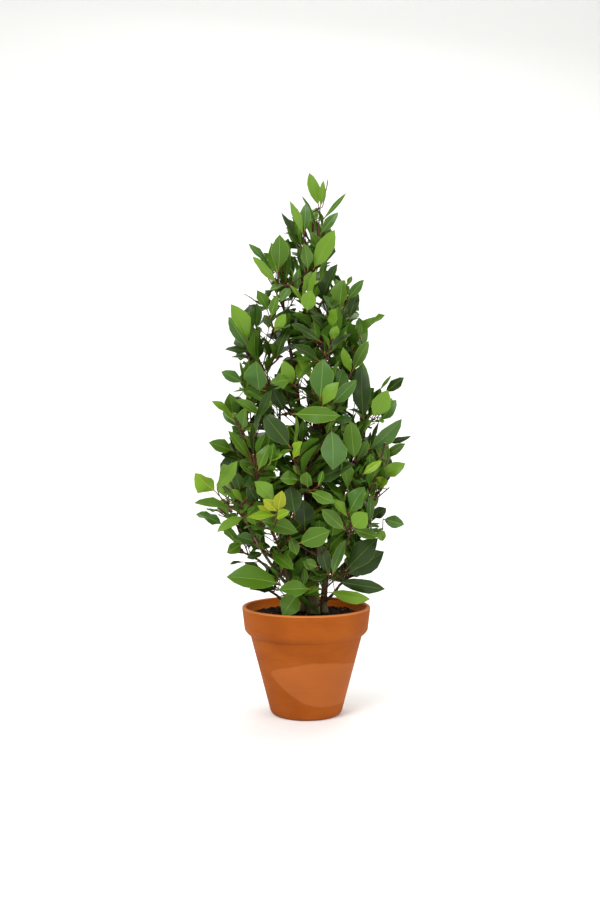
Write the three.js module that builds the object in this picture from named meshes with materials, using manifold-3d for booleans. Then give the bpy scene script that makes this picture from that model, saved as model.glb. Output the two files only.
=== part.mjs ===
// A bay laurel grown as a bushy cone, several stems together in one terracotta pot.
// Millimetres, +Z up. The origin is the centre of the pot's underside. +X is the viewer's right
// and -Y the side towards the viewer. Azimuths run from +X (0) over the back (90) to the left (180).
import * as THREE from "three";
import { mergeVertices } from "three/addons/utils/BufferGeometryUtils.js";
import Module from "manifold-3d";

const wasm = await Module();
wasm.setup();
const { degToRad, lerp, mapLinear } = THREE.MathUtils;
const random = THREE.MathUtils.seededRandom;
const up = new THREE.Vector3(0, 0, 1);

// The pot: a 220 mm clay pot, tapered, with a plain band round its rim and one drainage hole
const pot = {
  height: 183,
  rimRadius: 110,
  lipWidth: 7,
  bandHeight: 44,
  bandTaper: 4.5,
  bandStep: 9.5,
  footRadius: 61,
  footRounding: 7,
  wall: 8,
  floor: 10,
  drainRadius: 11,
  sides: 32,
};
const soil = { belowRim: 13, shoulder: 3, edge: 9 };
const ground = pot.height - soil.belowRim;
const clearance = 0.3;

// Stems: where each leaves the soil, how far it bows half way up, where it ends, its radius at
// both ends and the length of the leafy shoot that carries it on
const stems = [
  { name: "leader", foot: [12, -6], bow: [4, 4], end: [12, 0, 746], radii: [8.5, 2.6], shoot: 126, seed: 1 },
  { name: "upper_left", foot: [-3, 17], bow: [17, -7], end: [-36, -8, 668], radii: [6.5, 2.4], shoot: 100, seed: 1 },
  { name: "left", foot: [-26, -5], bow: [14, -7], end: [-92, -24, 456], radii: [5.8, 2.4], shoot: 100, seed: 9 },
  { name: "right", foot: [30, 9], bow: [-14, -9], end: [88, -10, 446], radii: [6, 2.4], shoot: 100, seed: 7 },
  { name: "back", foot: [13, 31], bow: [-6, 16], end: [20, 54, 570], radii: [5.6, 2.4], shoot: 100, seed: 2 },
  { name: "back_left", foot: [-23, 27], bow: [-4, 12], end: [-46, 54, 480], radii: [5, 2.4], shoot: 100, seed: 4 },
];
const rootFlare = { share: 0.5, height: 0.03 };

// Boughs that show from the front: the stem and the height that each leaves it at, where it ends,
// and the azimuth, elevation and length of its leafy shoot. Young shoots are paler.
const shownBoughs = [
  { name: "olive_shoot", stem: "left", from: 216, end: [-88, -50, 306], aim: [196, 68], shoot: 96, seed: 3 },
  { name: "low_left", stem: "left", from: 188, end: [-50, -36, 206], aim: [196, 18], shoot: 56, seed: 4 },
  { name: "low_right", stem: "right", from: 188, end: [56, -30, 222], aim: [346, 22], shoot: 52, seed: 9 },
  { name: "rim_right", stem: "leader", from: 184, end: [30, -44, 198], aim: [344, -2], shoot: 34, seed: 9 },
  { name: "left_low", stem: "left", from: 236, end: [-84, 2, 262], aim: [180, 8], shoot: 56, seed: 6 },
  { name: "left_tuft", stem: "left", from: 252, end: [-112, -34, 318], aim: [182, 42], shoot: 70, seed: 7, young: true },
  { name: "yellow_tuft", stem: "leader", from: 212, end: [-38, -72, 276], aim: [250, 48], shoot: 68, seed: 6, young: true },
  { name: "low_front", stem: "leader", from: 230, end: [18, -64, 260], aim: [288, 32], shoot: 58, seed: 8 },
  { name: "middle_tuft", stem: "leader", from: 400, end: [22, -66, 462], aim: [268, 62], shoot: 80, seed: 7 },
  { name: "high_front", stem: "leader", from: 560, end: [30, -42, 616], aim: [282, 62], shoot: 76, seed: 5 },
  { name: "upper_left", stem: "upper_left", from: 500, end: [-72, -34, 566], aim: [190, 62], shoot: 90, seed: 4, young: true },
  { name: "upper_right", stem: "leader", from: 500, end: [60, -22, 562], aim: [344, 58], shoot: 80, seed: 1 },
  { name: "high_right", stem: "leader", from: 620, end: [40, 8, 660], aim: [10, 64], shoot: 60, seed: 4 },
  { name: "right_side", stem: "right", from: 300, end: [100, -34, 350], aim: [350, 56], shoot: 100, seed: 5 },
  { name: "low_side", stem: "right", from: 226, end: [78, -34, 276], aim: [346, 34], shoot: 74, seed: 3 },
];
const boughRadii = [3.1, 2.1];

// The other boughs go where the widest gaps are left, low down more level and high up steeper
const fillers = {
  count: 8,
  tries: 300,
  heights: [215, 720],
  elevations: [18, 64],
  nearAxis: [0.26, 0.46],
  shootShare: 0.36,
  shootLeast: 30,
};

// A shoot: its main twig, and the side twigs that leave it part of the way up
const twigRadii = [2.3, 1.3];
const sideTwigRadii = [1.15, 0.9];
const sideTwigs = [
  { share: 0.12, lean: 54, lengthShare: 0.66 },
  { share: 0.34, lean: 48, lengthShare: 0.58 },
  { share: 0.56, lean: 42, lengthShare: 0.5 },
];
const goldenAngle = 137.5;

// Bay leaves, blade and stalk together. The low ones stand off their twig, the last ones follow it.
// A leaf that has no room is turned round its twig by each of the tries, and then left out.
const leaf = {
  length: 82,
  widthShare: 0.47,
  thickness: 1.5,
  curl: 0.12,
  fold: 0.1,
  spacing: 16.5,
  angles: [56, 24],
  droop: -0.35,
  stalkShare: 0.1,
  room: 0.8,
  tries: [0, 25, -25, 50, -50, 80, -80, 110, -110, 140],
};

// How far the leaf tips reach to the left and to the right of the pot's axis, height by height
const crownReach = [
  { height: 165, left: 112, right: 120 },
  { height: 215, left: 124, right: 138 },
  { height: 290, left: 140, right: 140 },
  { height: 335, left: 188, right: 178 },
  { height: 415, left: 192, right: 184 },
  { height: 470, left: 172, right: 186 },
  { height: 560, left: 150, right: 168 },
  { height: 690, left: 136, right: 134 },
  { height: 740, left: 100, right: 108 },
  { height: 810, left: 96, right: 60 },
  { height: 870, left: 58, right: 58 },
  { height: 928, left: 14, right: 36 },
];
const seeds = { fillers: 19, twigs: 100, leaves: 5000 };

const colours = { clay: 0xb4602e, compost: 0x2a1d15, bark: 0x5a4a34, leaf: 0x4c6b26, youngLeaf: 0x7f9a36 };

function between(low, high) {
  return lerp(low, high, random());
}

function aimed(azimuth, elevation) {
  const [a, e] = [degToRad(azimuth), degToRad(elevation)];
  return new THREE.Vector3(Math.cos(a) * Math.cos(e), Math.sin(a) * Math.cos(e), Math.sin(e));
}

// A unit vector square to a direction, turned round it
function sideways(direction, turn) {
  const side = new THREE.Vector3().crossVectors(direction, up);
  if (side.length() < 0.05) side.set(1, 0, 0);
  return side.normalize().applyAxisAngle(direction, degToRad(turn));
}

// A closed geometry as a solid for cutting and joining, and back again
function solidFrom(geometry) {
  const bare = geometry.clone();
  bare.deleteAttribute("normal");
  bare.deleteAttribute("uv");
  const merged = mergeVertices(bare, 1e-4);
  const vertProperties = merged.attributes.position.array;
  const triVerts = new Uint32Array(merged.index.array);
  return new wasm.Manifold(new wasm.Mesh({ numProp: 3, vertProperties, triVerts }));
}

function geometryFrom(solid) {
  const { vertProperties, triVerts } = solid.getMesh();
  const geometry = new THREE.BufferGeometry();
  geometry.setAttribute("position", new THREE.BufferAttribute(vertProperties, 3));
  geometry.setIndex(new THREE.BufferAttribute(triVerts, 1));
  geometry.computeVertexNormals();
  return geometry;
}

// The largest closed piece of a solid: scraps that a cut leaves loose and sealed hollows are dropped
function largestOf(solid) {
  return solid.decompose().reduce((largest, other) => (other.volume() > largest.volume() ? other : largest));
}

// What already stands in the crown, so that nothing new grows into it
const standing = [];

function boxOf(solid) {
  const { min, max } = solid.boundingBox();
  return new THREE.Box3(new THREE.Vector3(...min), new THREE.Vector3(...max));
}

function stand(solid) {
  standing.push({ solid, box: boxOf(solid) });
}

function isFree(solid, ignored = []) {
  const box = boxOf(solid);
  const meets = (other) => other.box.intersectsBox(box) && !other.solid.intersect(solid).isEmpty();
  return !standing.some((other) => !ignored.includes(other.solid) && meets(other));
}

// The crown's middle and radius at a height
function crownAt(height) {
  const above = crownReach.findIndex((row) => row.height > height);
  if (above <= 0) return { middle: new THREE.Vector3(0, 0, height), radius: 0 };
  const [low, high] = [crownReach[above - 1], crownReach[above]];
  const left = mapLinear(height, low.height, high.height, low.left, high.left);
  const right = mapLinear(height, low.height, high.height, low.right, high.right);
  return { middle: new THREE.Vector3((right - left) / 2, 0, height), radius: (left + right) / 2 };
}

function isInsideCrown(point) {
  const { middle, radius } = crownAt(point.z);
  return point.distanceTo(middle) < radius;
}

// A limb along a curve: a cylinder whose rings are carried onto the curve, crowded to its foot
function limb(curve, radiusAt, sides, steps, crowding = 1) {
  const geometry = new THREE.CylinderGeometry(1, 1, 1, sides, steps);
  const place = geometry.attributes.position;
  const across = new THREE.Vector3().crossVectors(curve.getTangent(0.5), aimed(20, 10));
  for (let i = 0; i < place.count; i++) {
    const share = Math.pow(place.getY(i) + 0.5, crowding);
    const tangent = curve.getTangent(share);
    const first = across.clone().projectOnPlane(tangent).normalize();
    const second = new THREE.Vector3().crossVectors(tangent, first);
    const spot = curve.getPoint(share);
    spot.addScaledVector(first, place.getX(i) * radiusAt(share));
    spot.addScaledVector(second, -place.getZ(i) * radiusAt(share));
    place.setXYZ(i, spot.x, spot.y, spot.z);
  }
  return geometry;
}

function tapering([thick, thin], spare = 0) {
  return (share) => lerp(thick, thin, share) + spare;
}

// A twig that sets out along one direction and ends in another
function twigCurve(start, first, last, length) {
  const knee = start.clone().addScaledVector(first, 0.4 * length);
  const end = start.clone().addScaledVector(last, length);
  return new THREE.QuadraticBezierCurve3(start, knee, end);
}

// A point on the axis of a twig as it is drawn, straight from ring to ring
function axisPoint({ curve, steps }, share) {
  const ring = Math.min(Math.floor(share * steps), steps - 1);
  const [below, above] = [curve.getPoint(ring / steps), curve.getPoint((ring + 1) / steps)];
  return below.lerp(above, share * steps - ring);
}

function turnedRound(profile) {
  return new THREE.LatheGeometry(profile, pot.sides).rotateX(Math.PI / 2);
}

function potProfile() {
  const bandFoot = pot.height - pot.bandHeight;
  const bandRadius = pot.rimRadius - pot.bandTaper;
  const bodyTop = bandRadius - pot.bandStep;
  const lipInside = pot.rimRadius - pot.lipWidth;
  const lipFoot = pot.height - 3;
  const shape = new THREE.Path();
  shape.moveTo(pot.drainRadius, 0);
  shape.lineTo(pot.footRadius - pot.footRounding, 0);
  shape.quadraticCurveTo(pot.footRadius - 1, 0, pot.footRadius + 1, pot.footRounding);
  shape.lineTo(bodyTop, bandFoot - 4);
  shape.quadraticCurveTo(bodyTop + 5, bandFoot - 3, bandRadius, bandFoot + 5);
  shape.lineTo(pot.rimRadius, lipFoot);
  shape.quadraticCurveTo(pot.rimRadius, pot.height, pot.rimRadius - pot.lipWidth / 2, pot.height);
  shape.quadraticCurveTo(lipInside, pot.height, lipInside, lipFoot);
  shape.lineTo(bodyTop - pot.wall, bandFoot);
  shape.lineTo(pot.footRadius - pot.wall, pot.floor);
  shape.lineTo(pot.drainRadius, pot.floor);
  shape.lineTo(pot.drainRadius, 0);
  return shape.getPoints(2);
}

// Radius of the pot's inner wall at a height above the floor
function innerRadius(height) {
  const bandFoot = pot.height - pot.bandHeight;
  const neck = pot.rimRadius - pot.bandTaper - pot.bandStep - pot.wall;
  const lipInside = pot.rimRadius - pot.lipWidth;
  if (height > bandFoot) return mapLinear(height, bandFoot, pot.height - 3, neck, lipInside);
  return mapLinear(height, pot.floor, bandFoot, pot.footRadius - pot.wall, neck);
}

function soilGeometry() {
  const heights = [pot.floor + clearance, pot.height - pot.bandHeight, ground - soil.shoulder];
  const wall = heights.map((height) => new THREE.Vector2(innerRadius(height) - 2 * clearance, height));
  const edge = new THREE.Vector2(innerRadius(ground) - soil.edge, ground);
  return turnedRound([new THREE.Vector2(0, heights[0]), ...wall, edge, new THREE.Vector2(0, ground)]);
}

// A stem runs from its flat cut on the soil, flared at the root, to its end in the leaves
function stemCurve({ foot, bow, end }) {
  const start = new THREE.Vector3(foot[0], foot[1], ground + clearance);
  const tip = new THREE.Vector3(...end);
  const middle = start.clone().lerp(tip, 0.5);
  middle.add(new THREE.Vector3(2 * bow[0], 2 * bow[1], 0));
  return new THREE.QuadraticBezierCurve3(start, middle, tip);
}

function stemSolid(curve, radii, spare) {
  const taper = tapering(radii, spare);
  const flared = (share) => taper(share) * (1 + rootFlare.share * Math.exp(-share / rootFlare.height));
  const geometry = limb(curve, flared, 7, 7, 1.6);
  const place = geometry.attributes.position;
  for (let i = 0; i < place.count; i++) {
    if (place.getZ(i) < ground + radii[0]) place.setZ(i, ground + clearance);
  }
  return solidFrom(geometry);
}

function growStem(stem) {
  const curve = stemCurve(stem);
  return { ...stem, curve, solid: stemSolid(curve, stem.radii, 0), room: stemSolid(curve, stem.radii, clearance) };
}

function pointAtHeight(curve, height) {
  let [low, high] = [0, 1];
  for (let i = 0; i < 20; i++) {
    const middle = (low + high) / 2;
    if (curve.getPoint(middle).z < height) low = middle;
    else high = middle;
  }
  return curve.getPoint(low);
}

// A bough leaves its stem, sags a little and rises to its end, where its shoot takes over
function boughCurve(start, end) {
  const knee = start.clone().lerp(end, 0.55);
  knee.z -= 0.14 * Math.hypot(end.x - start.x, end.y - start.y);
  return new THREE.QuadraticBezierCurve3(start, knee, end);
}

function boughSolid(curve, stem, spare) {
  return solidFrom(limb(curve, tapering(boughRadii, spare), 5, 3)).subtract(stem.room);
}

function shootFrom(curve, aim, length) {
  const first = curve.getTangent(1);
  const last = first.clone().multiplyScalar(0.25).add(aim).normalize();
  const start = curve.getPoint(1).addScaledVector(first, clearance);
  const main = twigCurve(start, first, last, length);
  return { curve: main, length, bare: 0.22, steps: 2, solid: solidFrom(limb(main, tapering(twigRadii), 3, 2)) };
}

function growBough(plan) {
  const stem = grownStems.find((other) => other.name === plan.stem);
  const curve = boughCurve(pointAtHeight(stem.curve, plan.from), new THREE.Vector3(...plan.end));
  const main = shootFrom(curve, aimed(...plan.aim), plan.shoot);
  const roomy = isFree(boughSolid(curve, stem, 1), [stem.solid]) && isFree(main.solid);
  return { ...plan, solid: boughSolid(curve, stem, 0), main, roomy };
}

function middleOf(bough) {
  return bough.main.curve.getPoint(0.7);
}

function sideName(x, y) {
  const depth = y < -30 ? "front" : y > 30 ? "back" : "";
  const flank = x < -30 ? "left" : x > 30 ? "right" : "";
  return [depth, flank].filter(Boolean).join("_") || "middle";
}

// The nearest stem that is tall enough, and the height at which a bough to this end leaves it
function carrierOf(end) {
  const reach = (stem) => {
    const trunk = pointAtHeight(stem.curve, end.z - 50);
    return Math.hypot(trunk.x - end.x, trunk.y - end.y);
  };
  const tall = grownStems.filter((stem) => stem.end[2] > end.z - 30);
  const stem = tall.reduce((nearest, other) => (reach(other) < reach(nearest) ? other : nearest));
  const from = Math.min(end.z - 0.8 * reach(stem) - 12, stem.end[2] - 24);
  return { stem: stem.name, from: Math.max(ground + 20, from) };
}

function plannedFiller() {
  const [lowest, highest] = fillers.heights;
  const height = lerp(lowest, highest, Math.pow(random(), 1.3));
  const azimuth = between(0, 360);
  const { middle, radius } = crownAt(height);
  const end = middle.addScaledVector(aimed(azimuth, 0), radius * between(...fillers.nearAxis));
  const aim = [azimuth, mapLinear(height, lowest, highest, ...fillers.elevations)];
  const shoot = fillers.shootShare * radius + fillers.shootLeast;
  return { name: sideName(end.x, end.y), ...carrierOf(end), end: end.toArray(), aim, shoot };
}

// Of many chance places, the one furthest from every shoot that is already there
function fillerForWidestGap(middles) {
  let [best, widest] = [null, 0];
  for (let k = 0; k < fillers.tries; k++) {
    const bough = growBough(plannedFiller());
    const gap = Math.min(...middles.map((other) => other.distanceTo(middleOf(bough))));
    if (bough.roomy && gap > widest) [best, widest] = [bough, gap];
  }
  return best;
}

// The side twigs of a shoot wind round its main twig and bend upwards
function plannedSideTwigs(main) {
  let turn = between(0, 360);
  return sideTwigs.map((side) => {
    const along = main.curve.getTangent(side.share);
    const lean = degToRad(side.lean + between(-6, 6));
    const first = along.clone().multiplyScalar(Math.cos(lean));
    first.addScaledVector(sideways(along, turn), Math.sin(lean));
    const last = first.clone().addScaledVector(up, 0.6).normalize();
    const length = Math.max(30, main.length * side.lengthShare);
    const curve = twigCurve(axisPoint(main, side.share), first, last, length);
    turn += goldenAngle;
    return { curve, length, bare: 0.4, steps: 1, solid: solidFrom(limb(curve, tapering(sideTwigRadii), 3, 1)) };
  });
}

// Leaves in a spiral up a twig, the last ones steeper and smaller
function leafSpots({ curve, length, bare }) {
  const count = Math.round((length * (1 - bare)) / leaf.spacing) + 2;
  const turn = between(0, 360);
  return Array.from({ length: count }, (_, k) => {
    const rise = k / (count - 1);
    return {
      share: lerp(bare, 0.95, rise),
      turn: turn + goldenAngle * k,
      angle: lerp(...leaf.angles, rise) + between(-8, 8),
      size: leaf.length * between(0.82, 1.14) * (k === count - 1 ? 0.86 : 1),
      roll: between(-0.5, 0.5),
      curl: leaf.curl * between(0.3, 1.9),
    };
  });
}

// From a leaf's own axes (+X to its tip, +Y its upper side) to its place on the twig
function leafPlacement(twig, spot, turned) {
  const along = twig.curve.getTangent(spot.share);
  const spread = degToRad(spot.angle);
  const towards = along.clone().multiplyScalar(Math.cos(spread));
  towards.addScaledVector(sideways(along, spot.turn + turned), Math.sin(spread));
  towards.z = Math.max(towards.z, leaf.droop);
  towards.normalize();
  const upper = along.clone().multiplyScalar(0.7).addScaledVector(up, 0.8);
  upper.projectOnPlane(towards).normalize().applyAxisAngle(towards, spot.roll);
  const across = new THREE.Vector3().crossVectors(towards, upper);
  return new THREE.Matrix4().makeBasis(towards, upper, across).setPosition(axisPoint(twig, spot.share));
}

// A leaf: a six-sided outline with one point above and one below, drawn out, arched and folded
function leafGeometry(spot, spare) {
  const geometry = new THREE.SphereGeometry(1, 6, 2);
  const place = geometry.attributes.position;
  const length = spot.size + spare;
  const width = spot.size * leaf.widthShare + spare;
  const thickness = leaf.thickness + spare;
  for (let i = 0; i < place.count; i++) {
    const [x, y, z] = [place.getX(i), place.getY(i), place.getZ(i)];
    const along = 0.5 + 0.5 * Math.sign(x) * Math.pow(Math.abs(x), x < 0 ? 2 : 1.5);
    const arch = spot.curl * length * (along - 1.3 * along * along);
    const lift = arch + leaf.fold * width * Math.abs(z);
    place.setXYZ(i, along * length, lift + (y * thickness) / 2, (z * width) / 2);
  }
  return geometry;
}

// The room that a leaf's blade needs, beyond its stalk
function bladeRoom(spot) {
  const geometry = leafGeometry(spot, leaf.room);
  const place = geometry.attributes.position;
  for (let i = 0; i < place.count; i++) {
    place.setX(i, Math.max(place.getX(i), leaf.stalkShare * spot.size));
  }
  return geometry;
}

// A leaf's blade keeps clear of everything, and its stalk of all but the shoot that it grows on
function growLeaf(twig, spot, ownPieces) {
  for (const turned of leaf.tries) {
    const placement = leafPlacement(twig, spot, turned);
    const tip = new THREE.Vector3(spot.size, 0, 0).applyMatrix4(placement);
    if (!isInsideCrown(tip)) continue;
    const grown = solidFrom(leafGeometry(spot, 0).applyMatrix4(placement));
    const blade = solidFrom(bladeRoom(spot).applyMatrix4(placement));
    if (isFree(blade) && isFree(grown, ownPieces)) return grown;
  }
  return null;
}

const plant = new THREE.Group();

function addNode(name, geometry, color, roughness) {
  const mesh = new THREE.Mesh(geometry, new THREE.MeshStandardMaterial({ color, roughness, metalness: 0 }));
  mesh.name = name;
  plant.add(mesh);
}

addNode("pot", turnedRound(potProfile()), colours.clay, 0.8);
addNode("soil", soilGeometry(), colours.compost, 1);
stand(solidFrom(turnedRound(potProfile())));
stand(solidFrom(soilGeometry()));

const grownStems = stems.map(growStem);
for (const stem of grownStems) {
  stand(stem.solid);
  addNode(`stem_${stem.name}`, geometryFrom(stem.solid), colours.bark, 0.85);
}

const shoots = grownStems.map((stem) => ({
  name: `end_${stem.name}`,
  main: shootFrom(stem.curve, up, stem.shoot),
  seed: stem.seed,
}));

function addBough(bough) {
  const number = String(shoots.length - stems.length + 1).padStart(2, "0");
  const name = `${number}_${bough.name}`;
  if (!bough.roomy) console.log("crowded bough", name);
  const wood = largestOf(bough.solid);
  stand(wood);
  stand(bough.main.solid);
  addNode(`bough_${name}`, geometryFrom(wood), colours.bark, 0.85);
  shoots.push({ ...bough, name });
}

for (const shoot of shoots) stand(shoot.main.solid);
for (const plan of shownBoughs) addBough(growBough(plan));
random(seeds.fillers);
for (let n = 0; n < fillers.count; n++) addBough(fillerForWidestGap(shoots.map(middleOf)));

// Side twigs that have room, then the leaves of every twig, and one solid of each shoot
shoots.forEach((shoot, index) => {
  random(seeds.twigs * index + (shoot.seed ?? 0));
  shoot.twigs = [shoot.main];
  shoot.pieces = [shoot.main.solid];
  for (const side of plannedSideTwigs(shoot.main)) {
    if (!isFree(side.solid, shoot.pieces)) continue;
    stand(side.solid);
    shoot.twigs.push(side);
    shoot.pieces.push(side.solid);
  }
});
shoots.forEach((shoot, index) => {
  random(seeds.leaves + seeds.twigs * index + (shoot.seed ?? 0));
  for (const twig of shoot.twigs) {
    for (const spot of leafSpots(twig)) {
      const grown = growLeaf(twig, spot, shoot.pieces);
      if (!grown) continue;
      stand(grown);
      shoot.pieces.push(grown);
    }
  }
  const whole = largestOf(shoot.pieces.reduce((joined, piece) => joined.add(piece)).simplify(0.1));
  addNode(`leaves_${shoot.name}`, geometryFrom(whole), shoot.young ? colours.youngLeaf : colours.leaf, 0.45);
});

export default plant;
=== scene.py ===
import math

import bpy
import numpy as np
from mathutils import Matrix, Quaternion, Vector
from mathutils.bvhtree import BVHTree


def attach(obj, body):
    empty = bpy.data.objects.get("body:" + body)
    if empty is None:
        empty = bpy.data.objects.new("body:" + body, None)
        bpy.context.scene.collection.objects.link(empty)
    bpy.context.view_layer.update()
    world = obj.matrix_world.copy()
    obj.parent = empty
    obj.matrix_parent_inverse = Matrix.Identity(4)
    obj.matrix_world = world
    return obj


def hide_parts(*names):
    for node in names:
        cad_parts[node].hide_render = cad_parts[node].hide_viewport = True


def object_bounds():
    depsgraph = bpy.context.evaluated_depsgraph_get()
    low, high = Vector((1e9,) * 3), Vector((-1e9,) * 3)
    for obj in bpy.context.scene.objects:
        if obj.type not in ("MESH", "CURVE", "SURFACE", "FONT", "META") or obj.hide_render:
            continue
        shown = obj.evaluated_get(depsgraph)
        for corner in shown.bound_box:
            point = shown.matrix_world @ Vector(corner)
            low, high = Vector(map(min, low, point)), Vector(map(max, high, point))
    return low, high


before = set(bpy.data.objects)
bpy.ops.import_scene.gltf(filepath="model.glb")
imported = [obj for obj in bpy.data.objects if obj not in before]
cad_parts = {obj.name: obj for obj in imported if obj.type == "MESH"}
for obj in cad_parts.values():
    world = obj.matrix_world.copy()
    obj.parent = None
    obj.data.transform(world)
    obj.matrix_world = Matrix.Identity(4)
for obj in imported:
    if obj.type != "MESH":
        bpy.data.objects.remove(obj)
cadLow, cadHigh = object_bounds()
print("frame loaded,", len(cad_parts), "nodes")

mm = 0.001
up = Vector((0, 0, 1))

# chance, drawn in the same order as in the source of the solids, so that the same plant grows
chance = {"state": 0}


def draw():
    chance["state"] = (chance["state"] + 0x6D2B79F5) & 0xFFFFFFFF
    t = chance["state"]
    t = ((t ^ (t >> 15)) * (t | 1)) & 0xFFFFFFFF
    t ^= (t + (((t ^ (t >> 7)) * (t | 61)) & 0xFFFFFFFF)) & 0xFFFFFFFF
    return (t ^ (t >> 14)) / 4294967296


def reseed(seed):
    chance["state"] = seed
    draw()


def between(low, high):
    return low + (high - low) * draw()


def lerp(low, high, share):
    return low + (high - low) * share


# the plant's plan, in millimetres
pot = {"height": 183, "rim": 110, "lip": 7, "band": 44, "bandTaper": 4.5, "bandStep": 9.5,
       "foot": 61, "footRounding": 7, "wall": 8, "floor": 10, "drain": 11, "soilBelowRim": 13}
ground = pot["height"] - pot["soilBelowRim"]
clearance = 0.3

# name, foot, bow, end, radii, shoot length, seed
stemRows = [
    ("leader", (12, -6), (4, 4), (12, 0, 746), (8.5, 2.6), 126, 1),
    ("upper_left", (-3, 17), (17, -7), (-36, -8, 668), (6.5, 2.4), 100, 1),
    ("left", (-26, -5), (14, -7), (-92, -24, 456), (5.8, 2.4), 100, 9),
    ("right", (30, 9), (-14, -9), (88, -10, 446), (6, 2.4), 100, 7),
    ("back", (13, 31), (-6, 16), (20, 54, 570), (5.6, 2.4), 100, 2),
    ("back_left", (-23, 27), (-4, 12), (-46, 54, 480), (5, 2.4), 100, 4),
]
rootFlare = {"share": 0.5, "height": 0.03}

# name, stem, height it leaves at, end, azimuth and elevation of its shoot, shoot length, seed, young
shownBoughs = [
    ("olive_shoot", "left", 216, (-88, -50, 306), (196, 68), 96, 3, False),
    ("low_left", "left", 188, (-50, -36, 206), (196, 18), 56, 4, False),
    ("low_right", "right", 188, (56, -30, 222), (346, 22), 52, 9, False),
    ("rim_right", "leader", 184, (30, -44, 198), (344, -2), 34, 9, False),
    ("left_low", "left", 236, (-84, 2, 262), (180, 8), 56, 6, False),
    ("left_tuft", "left", 252, (-112, -34, 318), (182, 42), 70, 7, True),
    ("yellow_tuft", "leader", 212, (-38, -72, 276), (250, 48), 68, 6, True),
    ("low_front", "leader", 230, (18, -64, 260), (288, 32), 58, 8, False),
    ("middle_tuft", "leader", 400, (22, -66, 462), (268, 62), 80, 7, False),
    ("high_front", "leader", 560, (30, -42, 616), (282, 62), 76, 5, False),
    ("upper_left", "upper_left", 500, (-72, -34, 566), (190, 62), 90, 4, True),
    ("upper_right", "leader", 500, (60, -22, 562), (344, 58), 80, 1, False),
    ("high_right", "leader", 620, (40, 8, 660), (10, 64), 60, 4, False),
    ("right_side", "right", 300, (100, -34, 350), (350, 56), 100, 5, False),
    ("low_side", "right", 226, (78, -34, 276), (346, 34), 74, 3, False),
]
boughRadii = (3.1, 2.1)
boughKnee = {"share": 0.55, "sag": 0.14}
fillers = {"count": 8, "tries": 300, "heights": (215, 720), "lowBias": 1.3, "elevations": (18, 64),
           "nearAxis": (0.26, 0.46), "shootShare": 0.36, "shootLeast": 30, "middleZone": 30,
           "trunkBelow": 50, "topAbove": -30, "slope": 0.8, "drop": 12, "underTip": 24, "aboveSoil": 20}

twigRadii = (2.3, 1.3)
shootLook = {"follow": 0.25, "bare": 0.22}
sideTwigs = {"rows": [(0.12, 54, 0.66), (0.34, 48, 0.58), (0.56, 42, 0.5)],  # share, lean, length share
             "leanSpread": 6, "leastLength": 30, "rise": 0.6, "bare": 0.4, "radii": (1.15, 0.9)}
goldenAngle = 137.5

leaf = {"length": 82, "widthShare": 0.47, "thickness": 1.5, "curl": 0.12, "nod": 1.3, "fold": 0.1, "spacing": 16.5,
        "sizes": (0.82, 1.14), "lastSize": 0.86, "lastShare": 0.95, "rolls": (-0.5, 0.5), "curls": (0.3, 1.9),
        "angles": (56, 24), "angleSpread": 8, "droop": -0.35, "stalkShare": 0.1, "room": 0.8,
        "tries": (0, 25, -25, 50, -50, 80, -80, 110, -110, 140)}

# height, reach to the left, reach to the right
crownReach = [(165, 112, 120), (215, 124, 138), (290, 140, 140), (335, 188, 178), (415, 192, 184), (470, 172, 186),
              (560, 150, 168), (690, 136, 134), (740, 100, 108), (810, 96, 60), (870, 58, 58), (928, 14, 36)]
seeds = {"fillers": 19, "twigs": 100, "leaves": 5000}


def aimed(azimuth, elevation):
    a, e = math.radians(azimuth), math.radians(elevation)
    return Vector((math.cos(a) * math.cos(e), math.sin(a) * math.cos(e), math.sin(e)))


def sideways(direction, turn):
    side = direction.cross(up)
    side = Vector((1, 0, 0)) if side.length < 0.05 else side.normalized()
    side.rotate(Quaternion(direction, math.radians(turn)))
    return side


def squareTo(vector, direction):
    return (vector - direction * vector.dot(direction)).normalized()


def pointOn(curve, share):
    rest = 1 - share
    return curve[0] * (rest * rest) + curve[1] * (2 * rest * share) + curve[2] * (share * share)


def directionOn(curve, share):
    return ((curve[1] - curve[0]) * (1 - share) + (curve[2] - curve[1]) * share).normalized()


# a point on the axis of a twig, which is straight from ring to ring
def axisPoint(twig, share):
    ring = min(math.floor(share * twig["steps"]), twig["steps"] - 1)
    below = pointOn(twig["curve"], ring / twig["steps"])
    above = pointOn(twig["curve"], (ring + 1) / twig["steps"])
    return below.lerp(above, share * twig["steps"] - ring)


# what already stands in the crown
standing = {"shapes": [], "lows": np.full((9000, 3), 1e9), "highs": np.full((9000, 3), -1e9)}


def shapeOf(points, faces):
    corners = np.array(points)
    return {"tree": BVHTree.FromPolygons(points, faces), "low": corners.min(0), "high": corners.max(0)}


def stand(shape):
    place = len(standing["shapes"])
    standing["shapes"].append(shape)
    standing["lows"][place] = shape["low"]
    standing["highs"][place] = shape["high"]
    shape["place"] = place


def takeAway(shape):
    standing["lows"][shape["place"]] = 1e9
    standing["highs"][shape["place"]] = -1e9


def isFree(shape, ignored=()):
    near = (standing["lows"] <= shape["high"]).all(1) & (standing["highs"] >= shape["low"]).all(1)
    for place in np.nonzero(near)[0]:
        other = standing["shapes"][place]
        if any(other is known for known in ignored):
            continue
        if other["tree"].overlap(shape["tree"]):
            return False
    return True


# what a table says at a height or row, straight from row to row, and nothing outside it
def tableAt(table, place):
    above = next((i for i, row in enumerate(table) if row[0] > place), 0)
    if above == 0:
        return None
    low, high = table[above - 1], table[above]
    share = (place - low[0]) / (high[0] - low[0])
    return [lerp(first, second, share) for first, second in zip(low[1:], high[1:])]


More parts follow.
